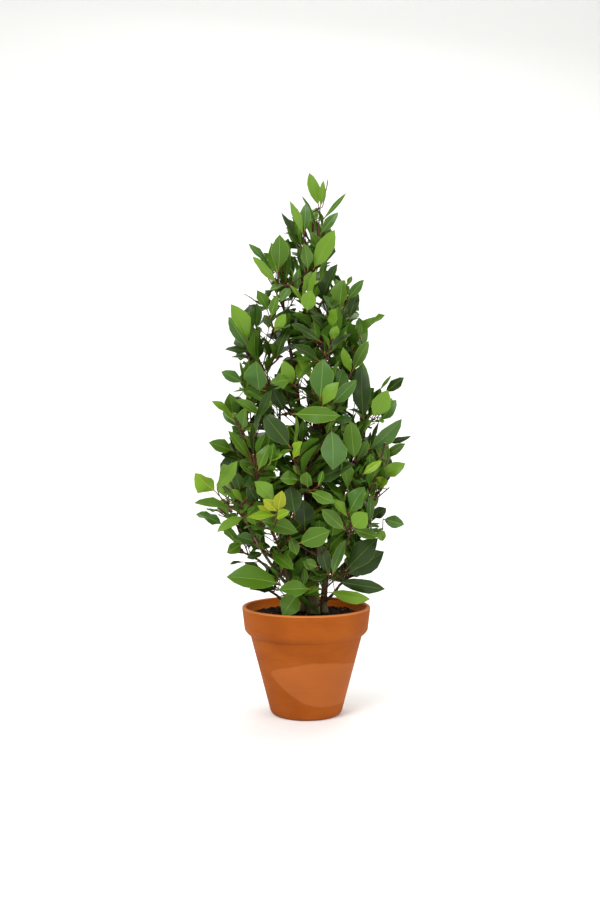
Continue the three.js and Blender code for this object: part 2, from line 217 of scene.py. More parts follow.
def crownAt(height):
    reach = tableAt(crownReach, height)
    if not reach:
        return Vector((0, 0, height)), 0
    left, right = reach
    return Vector(((right - left) / 2, 0, height)), (left + right) / 2


def isInsideCrown(point):
    middle, radius = crownAt(point.z)
    return (point - middle).length < radius


def limbShape(curve, radiusAt, sides, steps, crowding=1):
    across = directionOn(curve, 0.5).cross(aimed(20, 10))
    points = []
    for step in range(steps + 1):
        share = (step / steps) ** crowding
        along = directionOn(curve, share)
        first = squareTo(across, along)
        second = along.cross(first)
        for k in range(sides):
            turn = 2 * math.pi * k / sides
            points.append(pointOn(curve, share) + (first * math.sin(turn) - second * math.cos(turn)) * radiusAt(share))
    last = len(points) - sides
    faces = [list(range(sides)), list(range(last, last + sides))]
    for step in range(steps):
        for k in range(sides):
            a, b = step * sides + k, step * sides + (k + 1) % sides
            faces.append([a, b, b + sides, a + sides])
    return points, faces


def tapering(radii, spare=0):
    return lambda share: lerp(radii[0], radii[1], share) + spare


def twigCurve(start, first, last, length):
    return start, start + first * (0.4 * length), start + last * length


# a short twig that leaves a limb to one side and then rises
def leavingTwig(start, along, turn, lean, length, look):
    spread = math.radians(lean)
    first = along * math.cos(spread) + sideways(along, turn) * math.sin(spread)
    curve = twigCurve(start, first, (first + up * look["rise"]).normalized(), length)
    shape = shapeOf(*limbShape(curve, tapering(look["radii"]), 3, 1))
    return {"curve": curve, "length": length, "bare": look["bare"], "steps": 1, "radii": look["radii"], "shape": shape,
            "leaves": []}


def stemRadius(radii, share):
    return lerp(*radii, share) * (1 + rootFlare["share"] * math.exp(-share / rootFlare["height"]))


def growStem(stem):
    start = Vector((*stem["foot"], ground + clearance))
    end = Vector(stem["end"])
    middle = start.lerp(end, 0.5) + Vector((2 * stem["bow"][0], 2 * stem["bow"][1], 0))
    curve = (start, middle, end)
    points, faces = limbShape(curve, lambda share: stemRadius(stem["radii"], share), 7, 7, 1.6)
    for point in points:
        if point.z < ground + stem["radii"][0]:
            point.z = ground + clearance
    return {**stem, "curve": curve, "shape": shapeOf(points, faces)}


def pointAtHeight(curve, height):
    low, high = 0.0, 1.0
    for _ in range(20):
        middle = (low + high) / 2
        if pointOn(curve, middle).z < height:
            low = middle
        else:
            high = middle
    return pointOn(curve, low)


def boughCurve(start, end):
    knee = start.lerp(end, boughKnee["share"])
    knee.z -= boughKnee["sag"] * math.hypot(end.x - start.x, end.y - start.y)
    return start, knee, end


def shootFrom(curve, aim, length):
    first = directionOn(curve, 1)
    last = (first * shootLook["follow"] + aim).normalized()
    main = {"curve": twigCurve(curve[2] + first * clearance, first, last, length), "length": length,
            "bare": shootLook["bare"], "steps": 2, "radii": twigRadii, "leaves": []}
    main["shape"] = shapeOf(*limbShape(main["curve"], tapering(twigRadii), 3, 2))
    return main


def stemNamed(name):
    return next(stem for stem in grownStems if stem["name"] == name)


def growBough(plan):
    stem = stemNamed(plan["stem"])
    curve = boughCurve(pointAtHeight(stem["curve"], plan["from"]), Vector(plan["end"]))
    return {**plan, "curve": curve, "main": shootFrom(curve, aimed(*plan["aim"]), plan["shoot"])}


def isRoomy(bough):
    room = shapeOf(*limbShape(bough["curve"], tapering(boughRadii, 1), 5, 3))
    return isFree(room, [stemNamed(bough["stem"])["shape"]]) and isFree(bough["main"]["shape"])


def middleOf(bough):
    return pointOn(bough["main"]["curve"], 0.7)


def sideName(x, y):
    zone = fillers["middleZone"]
    depth = "front" if y < -zone else "back" if y > zone else ""
    flank = "left" if x < -zone else "right" if x > zone else ""
    return "_".join(part for part in (depth, flank) if part) or "middle"


def carrierOf(end):
    def reach(stem):
        trunk = pointAtHeight(stem["curve"], end.z - fillers["trunkBelow"])
        return math.hypot(trunk.x - end.x, trunk.y - end.y)

    stem = min((stem for stem in grownStems if stem["end"][2] > end.z + fillers["topAbove"]), key=reach)
    start = min(end.z - fillers["slope"] * reach(stem) - fillers["drop"], stem["end"][2] - fillers["underTip"])
    return stem["name"], max(ground + fillers["aboveSoil"], start)


def plannedFiller():
    lowest, highest = fillers["heights"]
    height = lerp(lowest, highest, draw() ** fillers["lowBias"])
    azimuth = between(0, 360)
    middle, radius = crownAt(height)
    end = middle + aimed(azimuth, 0) * (radius * between(*fillers["nearAxis"]))
    elevation = lerp(*fillers["elevations"], (height - lowest) / (highest - lowest))
    stem, start = carrierOf(end)
    return {"name": sideName(end.x, end.y), "stem": stem, "from": start, "end": end, "aim": (azimuth, elevation),
            "shoot": fillers["shootShare"] * radius + fillers["shootLeast"], "seed": 0, "young": False}


def fillerForWidestGap(middles):
    best, widest = None, 0
    for _ in range(fillers["tries"]):
        bough = growBough(plannedFiller())
        gap = min((other - middleOf(bough)).length for other in middles)
        if gap > widest and isRoomy(bough):
            best, widest = bough, gap
    return best


def plannedSideTwigs(main):
    turn = between(0, 360)
    planned = []
    for share, lean, lengthShare in sideTwigs["rows"]:
        lean += between(-sideTwigs["leanSpread"], sideTwigs["leanSpread"])
        length = max(sideTwigs["leastLength"], main["length"] * lengthShare)
        along = directionOn(main["curve"], share)
        planned.append(leavingTwig(axisPoint(main, share), along, turn, lean, length, sideTwigs))
        turn += goldenAngle
    return planned


def leafSpots(twig):
    count = math.floor(twig["length"] * (1 - twig["bare"]) / leaf["spacing"] + 0.5) + 2
    turn = between(0, 360)
    spots = []
    for k in range(count):
        rise = k / (count - 1)
        spots.append({"share": lerp(twig["bare"], leaf["lastShare"], rise), "rise": rise,
                      "turn": turn + goldenAngle * k,
                      "angle": lerp(*leaf["angles"], rise) + between(-leaf["angleSpread"], leaf["angleSpread"]),
                      "size": leaf["length"] * between(*leaf["sizes"]) * (leaf["lastSize"] if k == count - 1 else 1),
                      "roll": between(*leaf["rolls"]), "curl": leaf["curl"] * between(*leaf["curls"])})
    return spots


# from a leaf's own axes, x to its tip and y its upper side, to its place
def leafFrame(root, towards, upper):
    placement = Matrix((towards, upper, towards.cross(upper))).transposed().to_4x4()
    placement.translation = root
    return placement


def leafPlacement(twig, spot, turned):
    along = directionOn(twig["curve"], spot["share"])
    spread = math.radians(spot["angle"])
    towards = along * math.cos(spread) + sideways(along, spot["turn"] + turned) * math.sin(spread)
    towards.z = max(towards.z, leaf["droop"])
    towards.normalize()
    upper = squareTo(along * 0.7 + up * 0.8, towards)
    upper.rotate(Quaternion(towards, spot["roll"]))
    return leafFrame(axisPoint(twig, spot["share"]), towards, upper)


leafRing = [(-math.cos(math.radians(60 * k)), 0, math.sin(math.radians(60 * k))) for k in range(6)]
leafCorners = [(0, 1, 0), (0, -1, 0), *leafRing]
leafFaces = [[0, 2 + k, 2 + (k + 1) % 6] for k in range(6)] + [[1, 2 + (k + 1) % 6, 2 + k] for k in range(6)]


# how high a leaf's midrib arches along it, before it is scaled by its curl
def archAt(along):
    return along - leaf["nod"] * along * along


# the six-sided leaf of the solids, which says what room a leaf takes
def leafRoom(spot, placement, spare, stalk):
    length, width = spot["size"] + spare, spot["size"] * leaf["widthShare"] + spare
    points = []
    for x, y, z in leafCorners:
        along = 0.5 + 0.5 * math.copysign(abs(x) ** (2 if x < 0 else 1.5), x)
        lift = spot["curl"] * length * archAt(along) + leaf["fold"] * width * abs(z)
        reach = max(along * length, stalk * spot["size"])
        points.append(placement @ Vector((reach, lift + y * (leaf["thickness"] + spare) / 2, z * width / 2)))
    return shapeOf(points, leafFaces)


def growLeaf(twig, spot, ownShapes):
    for turned in leaf["tries"]:
        placement = leafPlacement(twig, spot, turned)
        if not isInsideCrown(placement @ Vector((spot["size"], 0, 0))):
            continue
        if not isFree(leafRoom(spot, placement, leaf["room"], leaf["stalkShare"])):
            continue
        shape = leafRoom(spot, placement, 0, 0)
        if isFree(shape, ownShapes):
            return {**spot, "placement": placement, "shape": shape}
    return None


def closedTurn(profile, sides=32):
    points = [Vector((r * math.cos(2 * math.pi * k / sides), r * math.sin(2 * math.pi * k / sides), z))
              for r, z in profile for k in range(sides)]
    rings = len(profile)
    faces = [[i * sides + k, i * sides + (k + 1) % sides, (i + 1) % rings * sides + (k + 1) % sides,
              (i + 1) % rings * sides + k] for i in range(rings) for k in range(sides)]
    return shapeOf(points, faces)


# the pot's wall as a closed profile: outside from the foot up to the lip, then down the inside
def potProfile():
    bandFoot = pot["height"] - pot["band"]
    bandRadius = pot["rim"] - pot["bandTaper"]
    bodyTop = bandRadius - pot["bandStep"]
    lipInside = pot["rim"] - pot["lip"]
    height, foot, rounding = pot["height"], pot["foot"], pot["footRounding"]
    return [(pot["drain"], 0), (foot - rounding, 0), (foot - 1.8, 1.8), (foot + 1, rounding), (bodyTop, bandFoot - 4),
            (bodyTop + 4.9, bandFoot - 1), (bandRadius, bandFoot + 5), (pot["rim"], height - 3),
            (pot["rim"] - 0.9, height - 0.8), (pot["rim"] - pot["lip"] / 2, height), (lipInside + 0.9, height - 0.8),
            (lipInside, height - 3), (bodyTop - pot["wall"], bandFoot), (foot - pot["wall"], pot["floor"]),
            (pot["drain"], pot["floor"])]


def innerRadius(height):
    neck = pot["rim"] - pot["bandTaper"] - pot["bandStep"] - pot["wall"]
    bandFoot = pot["height"] - pot["band"]
    if height > bandFoot:
        return lerp(neck, pot["rim"] - pot["lip"], (height - bandFoot) / (pot["band"] - 3))
    return lerp(pot["foot"] - pot["wall"], neck, (height - pot["floor"]) / (bandFoot - pot["floor"]))


# the compost as a closed profile, just clear of the pot and rounded at the top
def soilProfile():
    side = [(innerRadius(height) - gap, height) for height, gap in ((10.3, 0.6), (139, 0.6), (167, 0.6), (170, 9))]
    return [(0.01, side[0][1]), *side, (0.01, side[-1][1])]


stand(closedTurn(potProfile()))
stand(closedTurn(soilProfile()))
stemKeys = ("name", "foot", "bow", "end", "radii", "shoot", "seed")
grownStems = [growStem(dict(zip(stemKeys, row))) for row in stemRows]
for stem in grownStems:
    stand(stem["shape"])

boughs = []
shoots = [{"name": "end_" + stem["name"], "curve": stem["curve"], "main": shootFrom(stem["curve"], up, stem["shoot"]),
           "seed": stem["seed"], "young": False} for stem in grownStems]
for shoot in shoots:
    stand(shoot["main"]["shape"])


def addBough(bough):
    name = f"{len(boughs) + 1:02d}_{bough['name']}"
    stand(shapeOf(*limbShape(bough["curve"], tapering(boughRadii), 5, 3)))
    stand(bough["main"]["shape"])
    boughs.append({**bough, "name": name})
    shoots.append(boughs[-1])


boughKeys = ("name", "stem", "from", "end", "aim", "shoot", "seed", "young")
for row in shownBoughs:
    addBough(growBough(dict(zip(boughKeys, row))))
reseed(seeds["fillers"])
for _ in range(fillers["count"]):
    addBough(fillerForWidestGap([middleOf(shoot) for shoot in shoots]))


# a shape or a whole twig that from now on stands in a shoot's own room
def settle(shoot, part, parts):
    stand(part["shape"])
    shoot["shapes"].append(part["shape"])
    parts.append(part)


for index, shoot in enumerate(shoots):
    reseed(seeds["twigs"] * index + shoot["seed"])
    shoot["twigs"] = [shoot["main"]]
    shoot["shapes"] = [shoot["main"]["shape"]]
    for side in plannedSideTwigs(shoot["main"]):
        if isFree(side["shape"], shoot["shapes"]):
            settle(shoot, side, shoot["twigs"])

for index, shoot in enumerate(shoots):
    reseed(seeds["leaves"] + seeds["twigs"] * index + shoot["seed"])
    for twig in shoot["twigs"]:
        for spot in leafSpots(twig):
            grown = growLeaf(twig, spot, shoot["shapes"])
            if grown:
                settle(shoot, grown, twig["leaves"])


def printCount(what):
    twigs = [twig for shoot in shoots for twig in shoot["twigs"]]
    print(what, len(boughs), "boughs,", len(twigs), "twigs,", sum(len(twig["leaves"]) for twig in twigs), "leaves")


printCount("grown:")

# materials


def colour(code):
    parts = [int(code[i:i + 2], 16) / 255 for i in (0, 2, 4)]
    return (*[c / 12.92 if c < 0.04 else ((c + 0.055) / 1.055) ** 2.4 for c in parts], 1)


def plainMaterial(name, base, roughness, specular=0.5):
    made = bpy.data.materials.new(name)
    made.use_nodes = True
    shader = made.node_tree.nodes["Principled BSDF"]
    shader.inputs["Base Color"].default_value = colour(base)
    shader.inputs["Roughness"].default_value = roughness
    shader.inputs["Specular IOR Level"].default_value = specular
    return made


# into a socket goes another node's output or a plain value
def feed(material, socket, value):
    if isinstance(value, bpy.types.NodeSocket):
        material.node_tree.links.new(value, socket)
    else:
        socket.default_value = value


def feedShader(material, name, value):
    feed(material, material.node_tree.nodes["Principled BSDF"].inputs[name], value)


def addNode(material, kind, **values):
    node = material.node_tree.nodes.new(kind)
    for name, value in values.items():
        if name in node.inputs:
            feed(material, node.inputs[name], value)
        else:
            setattr(node, name, value)
    return node


def objectPlace(material):
    return addNode(material, "ShaderNodeTexCoord").outputs["Object"]


# a noise in the object's own space, stretched by the scale along each axis
def addNoise(material, scale, stretch=(1, 1, 1), detail=4.0):
    stretched = addNode(material, "ShaderNodeMapping", Vector=objectPlace(material), Scale=stretch).outputs["Vector"]
    return addNode(material, "ShaderNodeTexNoise", Vector=stretched, Scale=scale, Detail=detail).outputs["Fac"]


def addRamp(material, share, stops):
    ramp = addNode(material, "ShaderNodeValToRGB", Fac=share)
    elements = ramp.color_ramp.elements
    while len(elements) < len(stops):
        elements.new(0.5)
    for element, (place, code) in zip(elements, stops):
        element.position = place
        element.color = colour(code)
    return ramp.outputs["Color"]


def addBump(material, height, distance):
    bump = addNode(material, "ShaderNodeBump", Height=height, Distance=distance, Strength=1.0)
    feedShader(material, "Normal", bump.outputs["Normal"])


def mathNode(material, operation, *values):
    node = addNode(material, "ShaderNodeMath", operation=operation)
    for place, value in enumerate(values):
        feed(material, node.inputs[place], value)
    return node.outputs[0]


def mixColours(material, share, first, second):
    mix = addNode(material, "ShaderNodeMix", data_type="RGBA")
    for place, value in ((0, share), (6, first), (7, second)):
        feed(material, mix.inputs[place], value)
    return mix.outputs[2]


# olive brown bark, red brown on the younger wood higher up
barkLook = {"dark": "383020", "middle": "5e5637", "light": "857a54", "young": "5e3020", "from": 0.33, "to": 0.38,
            "share": 0.8, "bump": 0.0006}


def barkMaterial():
    made = plainMaterial("oliveBrownBark", barkLook["middle"], 0.8, 0.3)
    stops = [(0.32, barkLook["dark"]), (0.5, barkLook["middle"]), (0.7, barkLook["light"])]
    old = addRamp(made, addNoise(made, 90, (1, 1, 0.25), 6.0), stops)
    height = addNode(made, "ShaderNodeSeparateXYZ", Vector=objectPlace(made)).outputs["Z"]
    rise = addNode(made, "ShaderNodeMapRange", Value=height,
                   **{"From Min": barkLook["from"], "From Max": barkLook["to"], "To Max": barkLook["share"]})
    feedShader(made, "Base Color", mixColours(made, rise.outputs["Result"], old, colour(barkLook["young"])))
    addBump(made, addNoise(made, 260, (1, 1, 0.3), 5.0), barkLook["bump"])
    return made


# helpers for modelling by operators


def deselectAll():
    if bpy.context.object and bpy.context.object.mode != "OBJECT":
        bpy.ops.object.mode_set(mode="OBJECT")
    bpy.ops.object.select_all(action="DESELECT")


def makeActive(piece):
    deselectAll()
    piece.select_set(True)
    bpy.context.view_layer.objects.active = piece


def namedPiece(name):
    piece = bpy.context.object
    piece.name = piece.data.name = name
    return piece


def cleanMesh(piece):
    makeActive(piece)
    bpy.ops.object.mode_set(mode="EDIT")
    bpy.ops.mesh.select_all(action="SELECT")
    bpy.ops.mesh.remove_doubles(threshold=1e-6)
    bpy.ops.mesh.normals_make_consistent(inside=False)
    bpy.ops.object.mode_set(mode="OBJECT")


def applyModifier(piece, kind, **values):
    makeActive(piece)
    bpy.ops.object.modifier_add(type=kind)
    modifier = piece.modifiers[-1]
    for name, value in values.items():
        setattr(modifier, name, value)
    bpy.ops.object.modifier_apply(modifier=modifier.name)


def addPiece(name, data):
    piece = bpy.data.objects.new(name, data)
    bpy.context.collection.objects.link(piece)
    makeActive(piece)
    return piece


# tubes along runs of (point in mm, radius in mm), joined in one closed mesh
def tubes(name, runs, resolution, material):
    line = bpy.data.curves.new(name, "CURVE")
    line.dimensions = "3D"
    line.bevel_depth = mm
    line.bevel_resolution = resolution
    line.use_fill_caps = True
    for run in runs:
        spline = line.splines.new("POLY")
        spline.points.add(len(run) - 1)
        for target, (point, radius) in zip(spline.points, run):
            target.co = (*(point * mm), 1)
            target.radius = radius
    addPiece(name, line)
    bpy.ops.object.convert(target="MESH")
    piece = namedPiece(name)
    cleanMesh(piece)
    bpy.ops.object.shade_smooth()
    piece.data.materials.append(material)
    return piece


def relief(piece, size, strength):
    grain = bpy.data.textures.new(piece.name + "Relief", "CLOUDS")
    grain.noise_scale = size
    applyModifier(piece, "DISPLACE", texture=grain, strength=strength, mid_level=0.5)


# stems and boughs with the bark's relief
limbLook = {"stemStep": 4, "boughStep": 3, "knotEvery": 38, "knotSwell": 0.14, "knotLength": 0.006, "relief": 0.0009,
            "reliefSize": 0.006, "boughFineness": 0.7, "boughShare": 0.6}


def limbRun(curve, step, radiusAt, firstKnot):
    length = (curve[2] - curve[0]).length
    count = math.ceil(length / step)
    run = []
    for i in range(count + 1):
        share = i / count
        fromKnot = (share * length / limbLook["knotEvery"] + firstKnot) % 1 - 0.5
        swell = 1 + limbLook["knotSwell"] * math.exp(-fromKnot ** 2 / limbLook["knotLength"])
        run.append((pointOn(curve, share), radiusAt(share) * swell))
    return run


bark = barkMaterial()
stemPiece = tubes("stems", [limbRun(stem["curve"], limbLook["stemStep"], lambda share: stemRadius(stem["radii"], share),
                                    stem["foot"][0] * 0.1) for stem in grownStems], 5, bark)
relief(stemPiece, limbLook["reliefSize"], limbLook["relief"])
boughPiece = tubes("boughs", [limbRun(bough["curve"], limbLook["boughStep"], tapering(boughRadii), 0.3)
                              for bough in boughs], 3, bark)
relief(boughPiece, limbLook["reliefSize"] * limbLook["boughFineness"], limbLook["relief"] * limbLook["boughShare"])
print("stems and boughs:", len(stemPiece.data.polygons), "and", len(boughPiece.data.polygons), "faces")

# the photograph's view: the eye in millimetres, and its frame in pixels
photoView = {"eye": (-10.7, -1671, 450), "lens": 38.9, "sensor": 36, "width": 600, "height": 900}


def pixelSize(depth):
    return (depth - photoView["eye"][1]) * photoView["sensor"] / photoView["lens"] / photoView["height"]


# the point at a depth that shows at a column and row of the photograph
def seenAt(column, row, depth):
    eye, scale = photoView["eye"], pixelSize(depth)
    return Vector((eye[0] + (column - photoView["width"] / 2) * scale, depth,
                   eye[2] + (photoView["height"] / 2 - row) * scale))


def columnAndRow(point):
    eye, scale = photoView["eye"], pixelSize(point.y)
    return photoView["width"] / 2 + (point.x - eye[0]) / scale, photoView["height"] / 2 - (point.z - eye[2]) / scale


# a place on the side of the crown that faces the eye: layer 1 is its surface, layer 0 its middle
def frontPlace(column, row, layer):
    depth = 0
    for _ in range(4):
        place = seenAt(column, row, depth)
        middle, radius = crownAt(place.z)
        depth = -layer * math.sqrt(max(0, radius ** 2 - (place.x - middle.x) ** 2))
    return seenAt(column, row, depth)


# the leaves that show at the front, listed one by one: column and row of the tip and of the root, layer,
# share of width, tone, and roll where it is turned
frontLeaves = [
    (309.5, 172.5, 319, 207, 0, 0.3, "light"), (324, 180.5, 320.5, 207, 0.3, 0.22, "light", 20),
    (328, 178, 322.5, 207, 0.2, 0.1, "dark", 50), (346, 193, 323.5, 219, 0.4, 0.13, "cool", 40),
    (338, 212, 320.5, 234, 0.4, 0.32, "cool", 10), (290, 200.5, 303.5, 236, 0.6, 0.22, "light"),
    (306, 203, 304.5, 234, 0.3, 0.33, "cool"), (302.5, 195, 315.5, 230, 0.2, 0.18, "cool", 30),
    (282, 212, 298, 250, 0.4, 0.22, "dark", 20), (310, 231, 320, 251, 0.4, 0.5, "middle"),
    (304.5, 243, 308, 271, 0.8, 0.44, "middle"), (334, 229.5, 313, 270, 0.7, 0.34, "light", -10),
    (280, 234.5, 278, 272, 0.7, 0.43, "middle"), (249, 243, 273, 272, 0.4, 0.22, "cool", 20),
    (253, 256, 277, 284, 0.6, 0.24, "light", 20), (287, 248, 286, 282, 0.4, 0.22, "middle"),
    (298, 247, 305, 272, 0.6, 0.3, "dark"), (327, 259, 320, 283, 0.5, 0.28, "middle"),
    (336, 263.5, 322, 303, 0.4, 0.33, "dark"), (309, 273, 302, 297, 0.8, 0.28, "light", 20),
    (316, 270, 311, 298, 0.8, 0.3, "light", -10), (311, 290, 307, 312, 0.9, 0.64, "light"),
    (290, 284, 304, 305, 0.7, 0.26, "light", 20), (280, 301, 291, 287, 0.6, 0.36, "cool"),
    (270, 290, 286, 285, 0.5, 0.4, "cool"), (299, 268, 297, 292, 0.5, 0.32, "cool"),
    (257, 290, 268, 312, 0.7, 0.52, "middle", 10), (277, 295, 271, 318, 0.75, 0.36, "middle"),
    (243, 293, 259, 304, 0.4, 0.1, "dark", 30), (343, 280, 340, 307, 0.8, 0.57, "middle"),
    (364, 280, 347, 300, 0.5, 0.32, "cool", 10), (352, 276, 347, 286, 0.5, 0.4, "middle"),
    (357, 291, 349, 320, 0.4, 0.34, "dark"), (323, 295, 334, 312, 0.6, 0.36, "cool"),
    (232, 303.5, 248.5, 343, 0.8, 0.38, "light"), (228, 317, 250, 349, 0.5, 0.3, "cool"),
    (225, 349, 251, 352, 0.5, 0.32, "dark", 10), (231, 357, 252, 358, 0.3, 0.22, "dark", 20),
    (256, 361, 260, 393, 0.7, 0.62, "cool"), (221.5, 371, 243, 383, 0.4, 0.46, "cool"),
    (240, 361, 244, 390, 0.6, 0.2, "light", 30), (232, 391, 266, 391, 0.8, 0.2, "middle", 40),
    (229, 393.5, 233, 415, 0.4, 0.5, "middle"), (212, 401, 234, 419, 0.6, 0.3, "light", 20),
    (235, 400, 263, 417, 0.75, 0.32, "middle", 20), (246, 408, 243, 430, 0.6, 0.45, "middle"),
    (258, 425, 244, 430, 0.6, 0.35, "middle", 20), (209, 442, 233, 451, 0.5, 0.45, "middle", 10),
    (229, 430, 251, 462, 0.6, 0.26, "middle"), (221, 454, 240, 459, 0.4, 0.42, "dark"),
    (237, 461, 217, 489, 0.7, 0.32, "light"), (253, 424, 253, 455, 0.6, 0.24, "dark"),
    (269, 444, 258, 471, 0.75, 0.38, "middle"), (264, 414, 291, 448, 0.8, 0.42, "dark"),
    (270, 383, 293, 380, 0.75, 0.68, "middle", 10), (283, 361, 293, 385, 0.65, 0.45, "light"),
    (286, 314, 274, 332, 0.8, 0.42, "light", 20), (257, 303, 256, 329, 0.5, 0.38, "cool"),
    (291, 324, 321, 342, 0.8, 0.28, "dark", 20), (321, 358, 294, 386, 0.7, 0.28, "middle", -20),
    (303.5, 438, 293, 459, 0.85, 0.5, "fresh", 10), (297, 415, 294, 447, 0.8, 0.16, "middle", 20),
    (303, 420, 302, 443, 0.6, 0.4, "cool"), (272, 388, 285, 412, 0.5, 0.42, "dark"),
    (336, 308.5, 333, 329, 0.85, 0.7, "light"), (337, 326, 331, 340, 0.85, 0.5, "light"),
    (311, 315, 325, 331, 0.75, 0.34, "dark"), (346, 331, 345, 342, 0.7, 0.3, "light"),
    (384, 314, 360, 337, 0.6, 0.5, "middle", -20), (361, 324, 352, 350, 0.4, 0.32, "middle"),
    (369, 341, 352, 372, 0.5, 0.3, "middle"), (343, 347.5, 351, 373, 0.75, 0.32, "light"),
    (362, 366, 363, 419, 0.5, 0.33, "dark"), (323, 359, 320, 401, 0.75, 0.5, "cool"),
    (338, 381.5, 322, 407, 0.88, 0.48, "light"), (357, 380, 331, 405, 0.65, 0.34, "cool", -10),
    (340, 416, 292, 414, 0.88, 0.3, "middle", 30), (388, 390, 372, 418, 0.7, 0.5, "light"),
    (404, 378, 385, 392, 0.4, 0.36, "dark", 10), (396, 400, 381, 421, 0.4, 0.5, "cool"),
    (391, 375, 380, 390, 0.3, 0.16, "middle", 20), (403, 420, 367, 451, 0.4, 0.32, "cool", 20),
    (411, 436, 386, 443, 0, 0.22, "dark", 30), (405, 443, 383, 459, 0.2, 0.32, "middle", 10),
    (334, 470, 331, 428, 0.85, 0.58, "cool"), (350, 421, 355, 461, 0.7, 0.4, "middle"),
    (341, 455, 348, 491, 0.7, 0.32, "middle"), (368, 440, 356, 462, 0.6, 0.36, "middle"),
    (382, 461, 362, 475, 0.75, 0.3, "fresh", 10), (405, 463, 382, 476, 0.5, 0.42, "light", 10),
    (307, 472, 308, 488, 0.75, 0.6, "middle"), (192.5, 472, 216, 492, 0.7, 0.58, "fresh"),
    (194, 503, 232, 509, 0.7, 0.36, "middle", 20), (191.5, 511, 223, 525, 0.5, 0.46, "cool", 10),
    (217, 531, 245, 516.5, 0.6, 0.3, "light", 20), (232, 489, 243, 502, 0.8, 0.36, "light"),
    (235, 472, 240, 491, 0.5, 0.5, "cool"), (252, 473, 243, 488, 0.5, 0.6, "cool"),
    (248, 486, 258, 503, 0.6, 0.5, "dark"), (280, 478, 299, 480, 0.7, 0.62, "middle"),
    (255, 481, 275, 503, 0.8, 0.52, "light"), (263.5, 499, 277.5, 512, 0.88, 0.46, "young", -15),
    (281.5, 491, 278, 512, 0.88, 0.44, "young", 15), (247, 517, 278, 515, 0.88, 0.46, "fresh", 20),
    (294.5, 508, 276, 519, 0.9, 0.5, "fresh", -10), (290, 486, 295, 515, 0.7, 0.6, "dark"),
    (298, 532, 259, 520, 0.75, 0.36, "middle", 20), (297, 555, 290, 536, 0.7, 0.46, "middle"),
    (227, 552.5, 242, 544, 0.6, 0.56, "middle"), (237, 536, 254, 541, 0.4, 0.6, "cool"),
    (247, 558, 263, 553, 0.5, 0.5, "dark"), (230, 564, 242, 562, 0.3, 0.3, "dark", 20),
    (227, 575, 281, 584, 0.65, 0.42, "middle"), (249, 589, 280, 590, 0.5, 0.34, "dark", 20),
    (279, 590, 311, 589, 0.65, 0.44, "middle", 10), (282, 615, 298, 593, 0.45, 0.66, "middle"),
    (377, 538, 345.5, 571, 0.6, 0.42, "dark", 10), (384.5, 552.5, 345, 575, 0.5, 0.42, "dark"),
    (385, 589.5, 336, 581, 0.45, 0.26, "dark", 20), (370, 599, 329, 592, 0.45, 0.3, "light", 45),
    (345, 540, 332, 576, 0.7, 0.24, "cool"), (320, 544, 328, 573, 0.6, 0.36, "dark"),
    (303, 562, 318, 567, 0.65, 0.56, "middle"), (308, 578, 329, 574, 0.6, 0.5, "dark"),
    (305, 567, 303, 587, 0.5, 0.3, "middle"), (330, 531, 298, 544, 0.85, 0.5, "middle"),
    (304, 500, 305, 530, 0.6, 0.6, "dark"), (334, 503, 310, 492, 0.85, 0.46, "middle", 10),
    (332, 499, 348, 517, 0.8, 0.4, "light"), (322, 509, 345, 530, 0.8, 0.36, "middle", 10),
    (364, 486.5, 349, 513, 0.8, 0.52, "cool"), (367, 513, 352, 528, 0.85, 0.74, "light"),
    (378, 537, 352, 529, 0.7, 0.36, "middle", 10), (404, 524.5, 383, 519, 0.5, 0.5, "cool"),
    (383, 541, 378, 529, 0.6, 0.7, "light"), (386, 508, 372, 518, 0.4, 0.6, "dark", 20),
    (371.5, 494, 369.5, 524, 0.6, 0.22, "cool"), (388, 481, 376, 486, 0.5, 0.8, "fresh"),
]
# twigs that show between them: start, middle, end, layer, radii, and whether shears cut the end
frontTwigs = [
    (270, 383, 259, 363, 249, 343, 0.6, (1.6, 1.2)), (258, 482, 248, 450, 234, 418, 0.65, (1.9, 1.2)),
    (257, 476, 254.5, 464, 253.5, 455, 0.7, (1.6, 1.4), True), (279, 358, 277, 345, 275, 332, 0.6, (1.4, 1.2)),
    (271, 352, 266, 345, 259, 337, 0.65, (1.1, 1.0)), (354, 492, 355, 466, 365, 428, 0.5, (1.9, 1.4)),
    (342, 556, 350, 532, 348.5, 516, 0.7, (1.3, 1.0)), (366, 500, 377, 472, 385, 443, 0.55, (1.8, 1.5), True),
    (326, 358, 318, 332, 301, 300, 0.6, (1.9, 1.5)), (302, 302, 295, 293, 288, 284, 0.65, (1.4, 1.3), True),
    (317, 270, 318, 240, 320, 209, 0.4, (1.4, 1.0)), (328, 362, 329, 350, 330.5, 338, 0.8, (1.0, 0.8)),
    (297, 470, 295, 463, 293.5, 457, 0.8, (1.0, 0.8)), (323, 592, 333, 581, 347, 570, 0.45, (1.4, 1.1)),
    (304, 250, 304, 241, 303.5, 232, 0.5, (1.0, 0.9)), (279, 283, 279, 276, 278, 270, 0.65, (1.0, 0.9)),
    (239, 511, 228, 505, 218, 494, 0.7, (1.2, 1.0)),
]
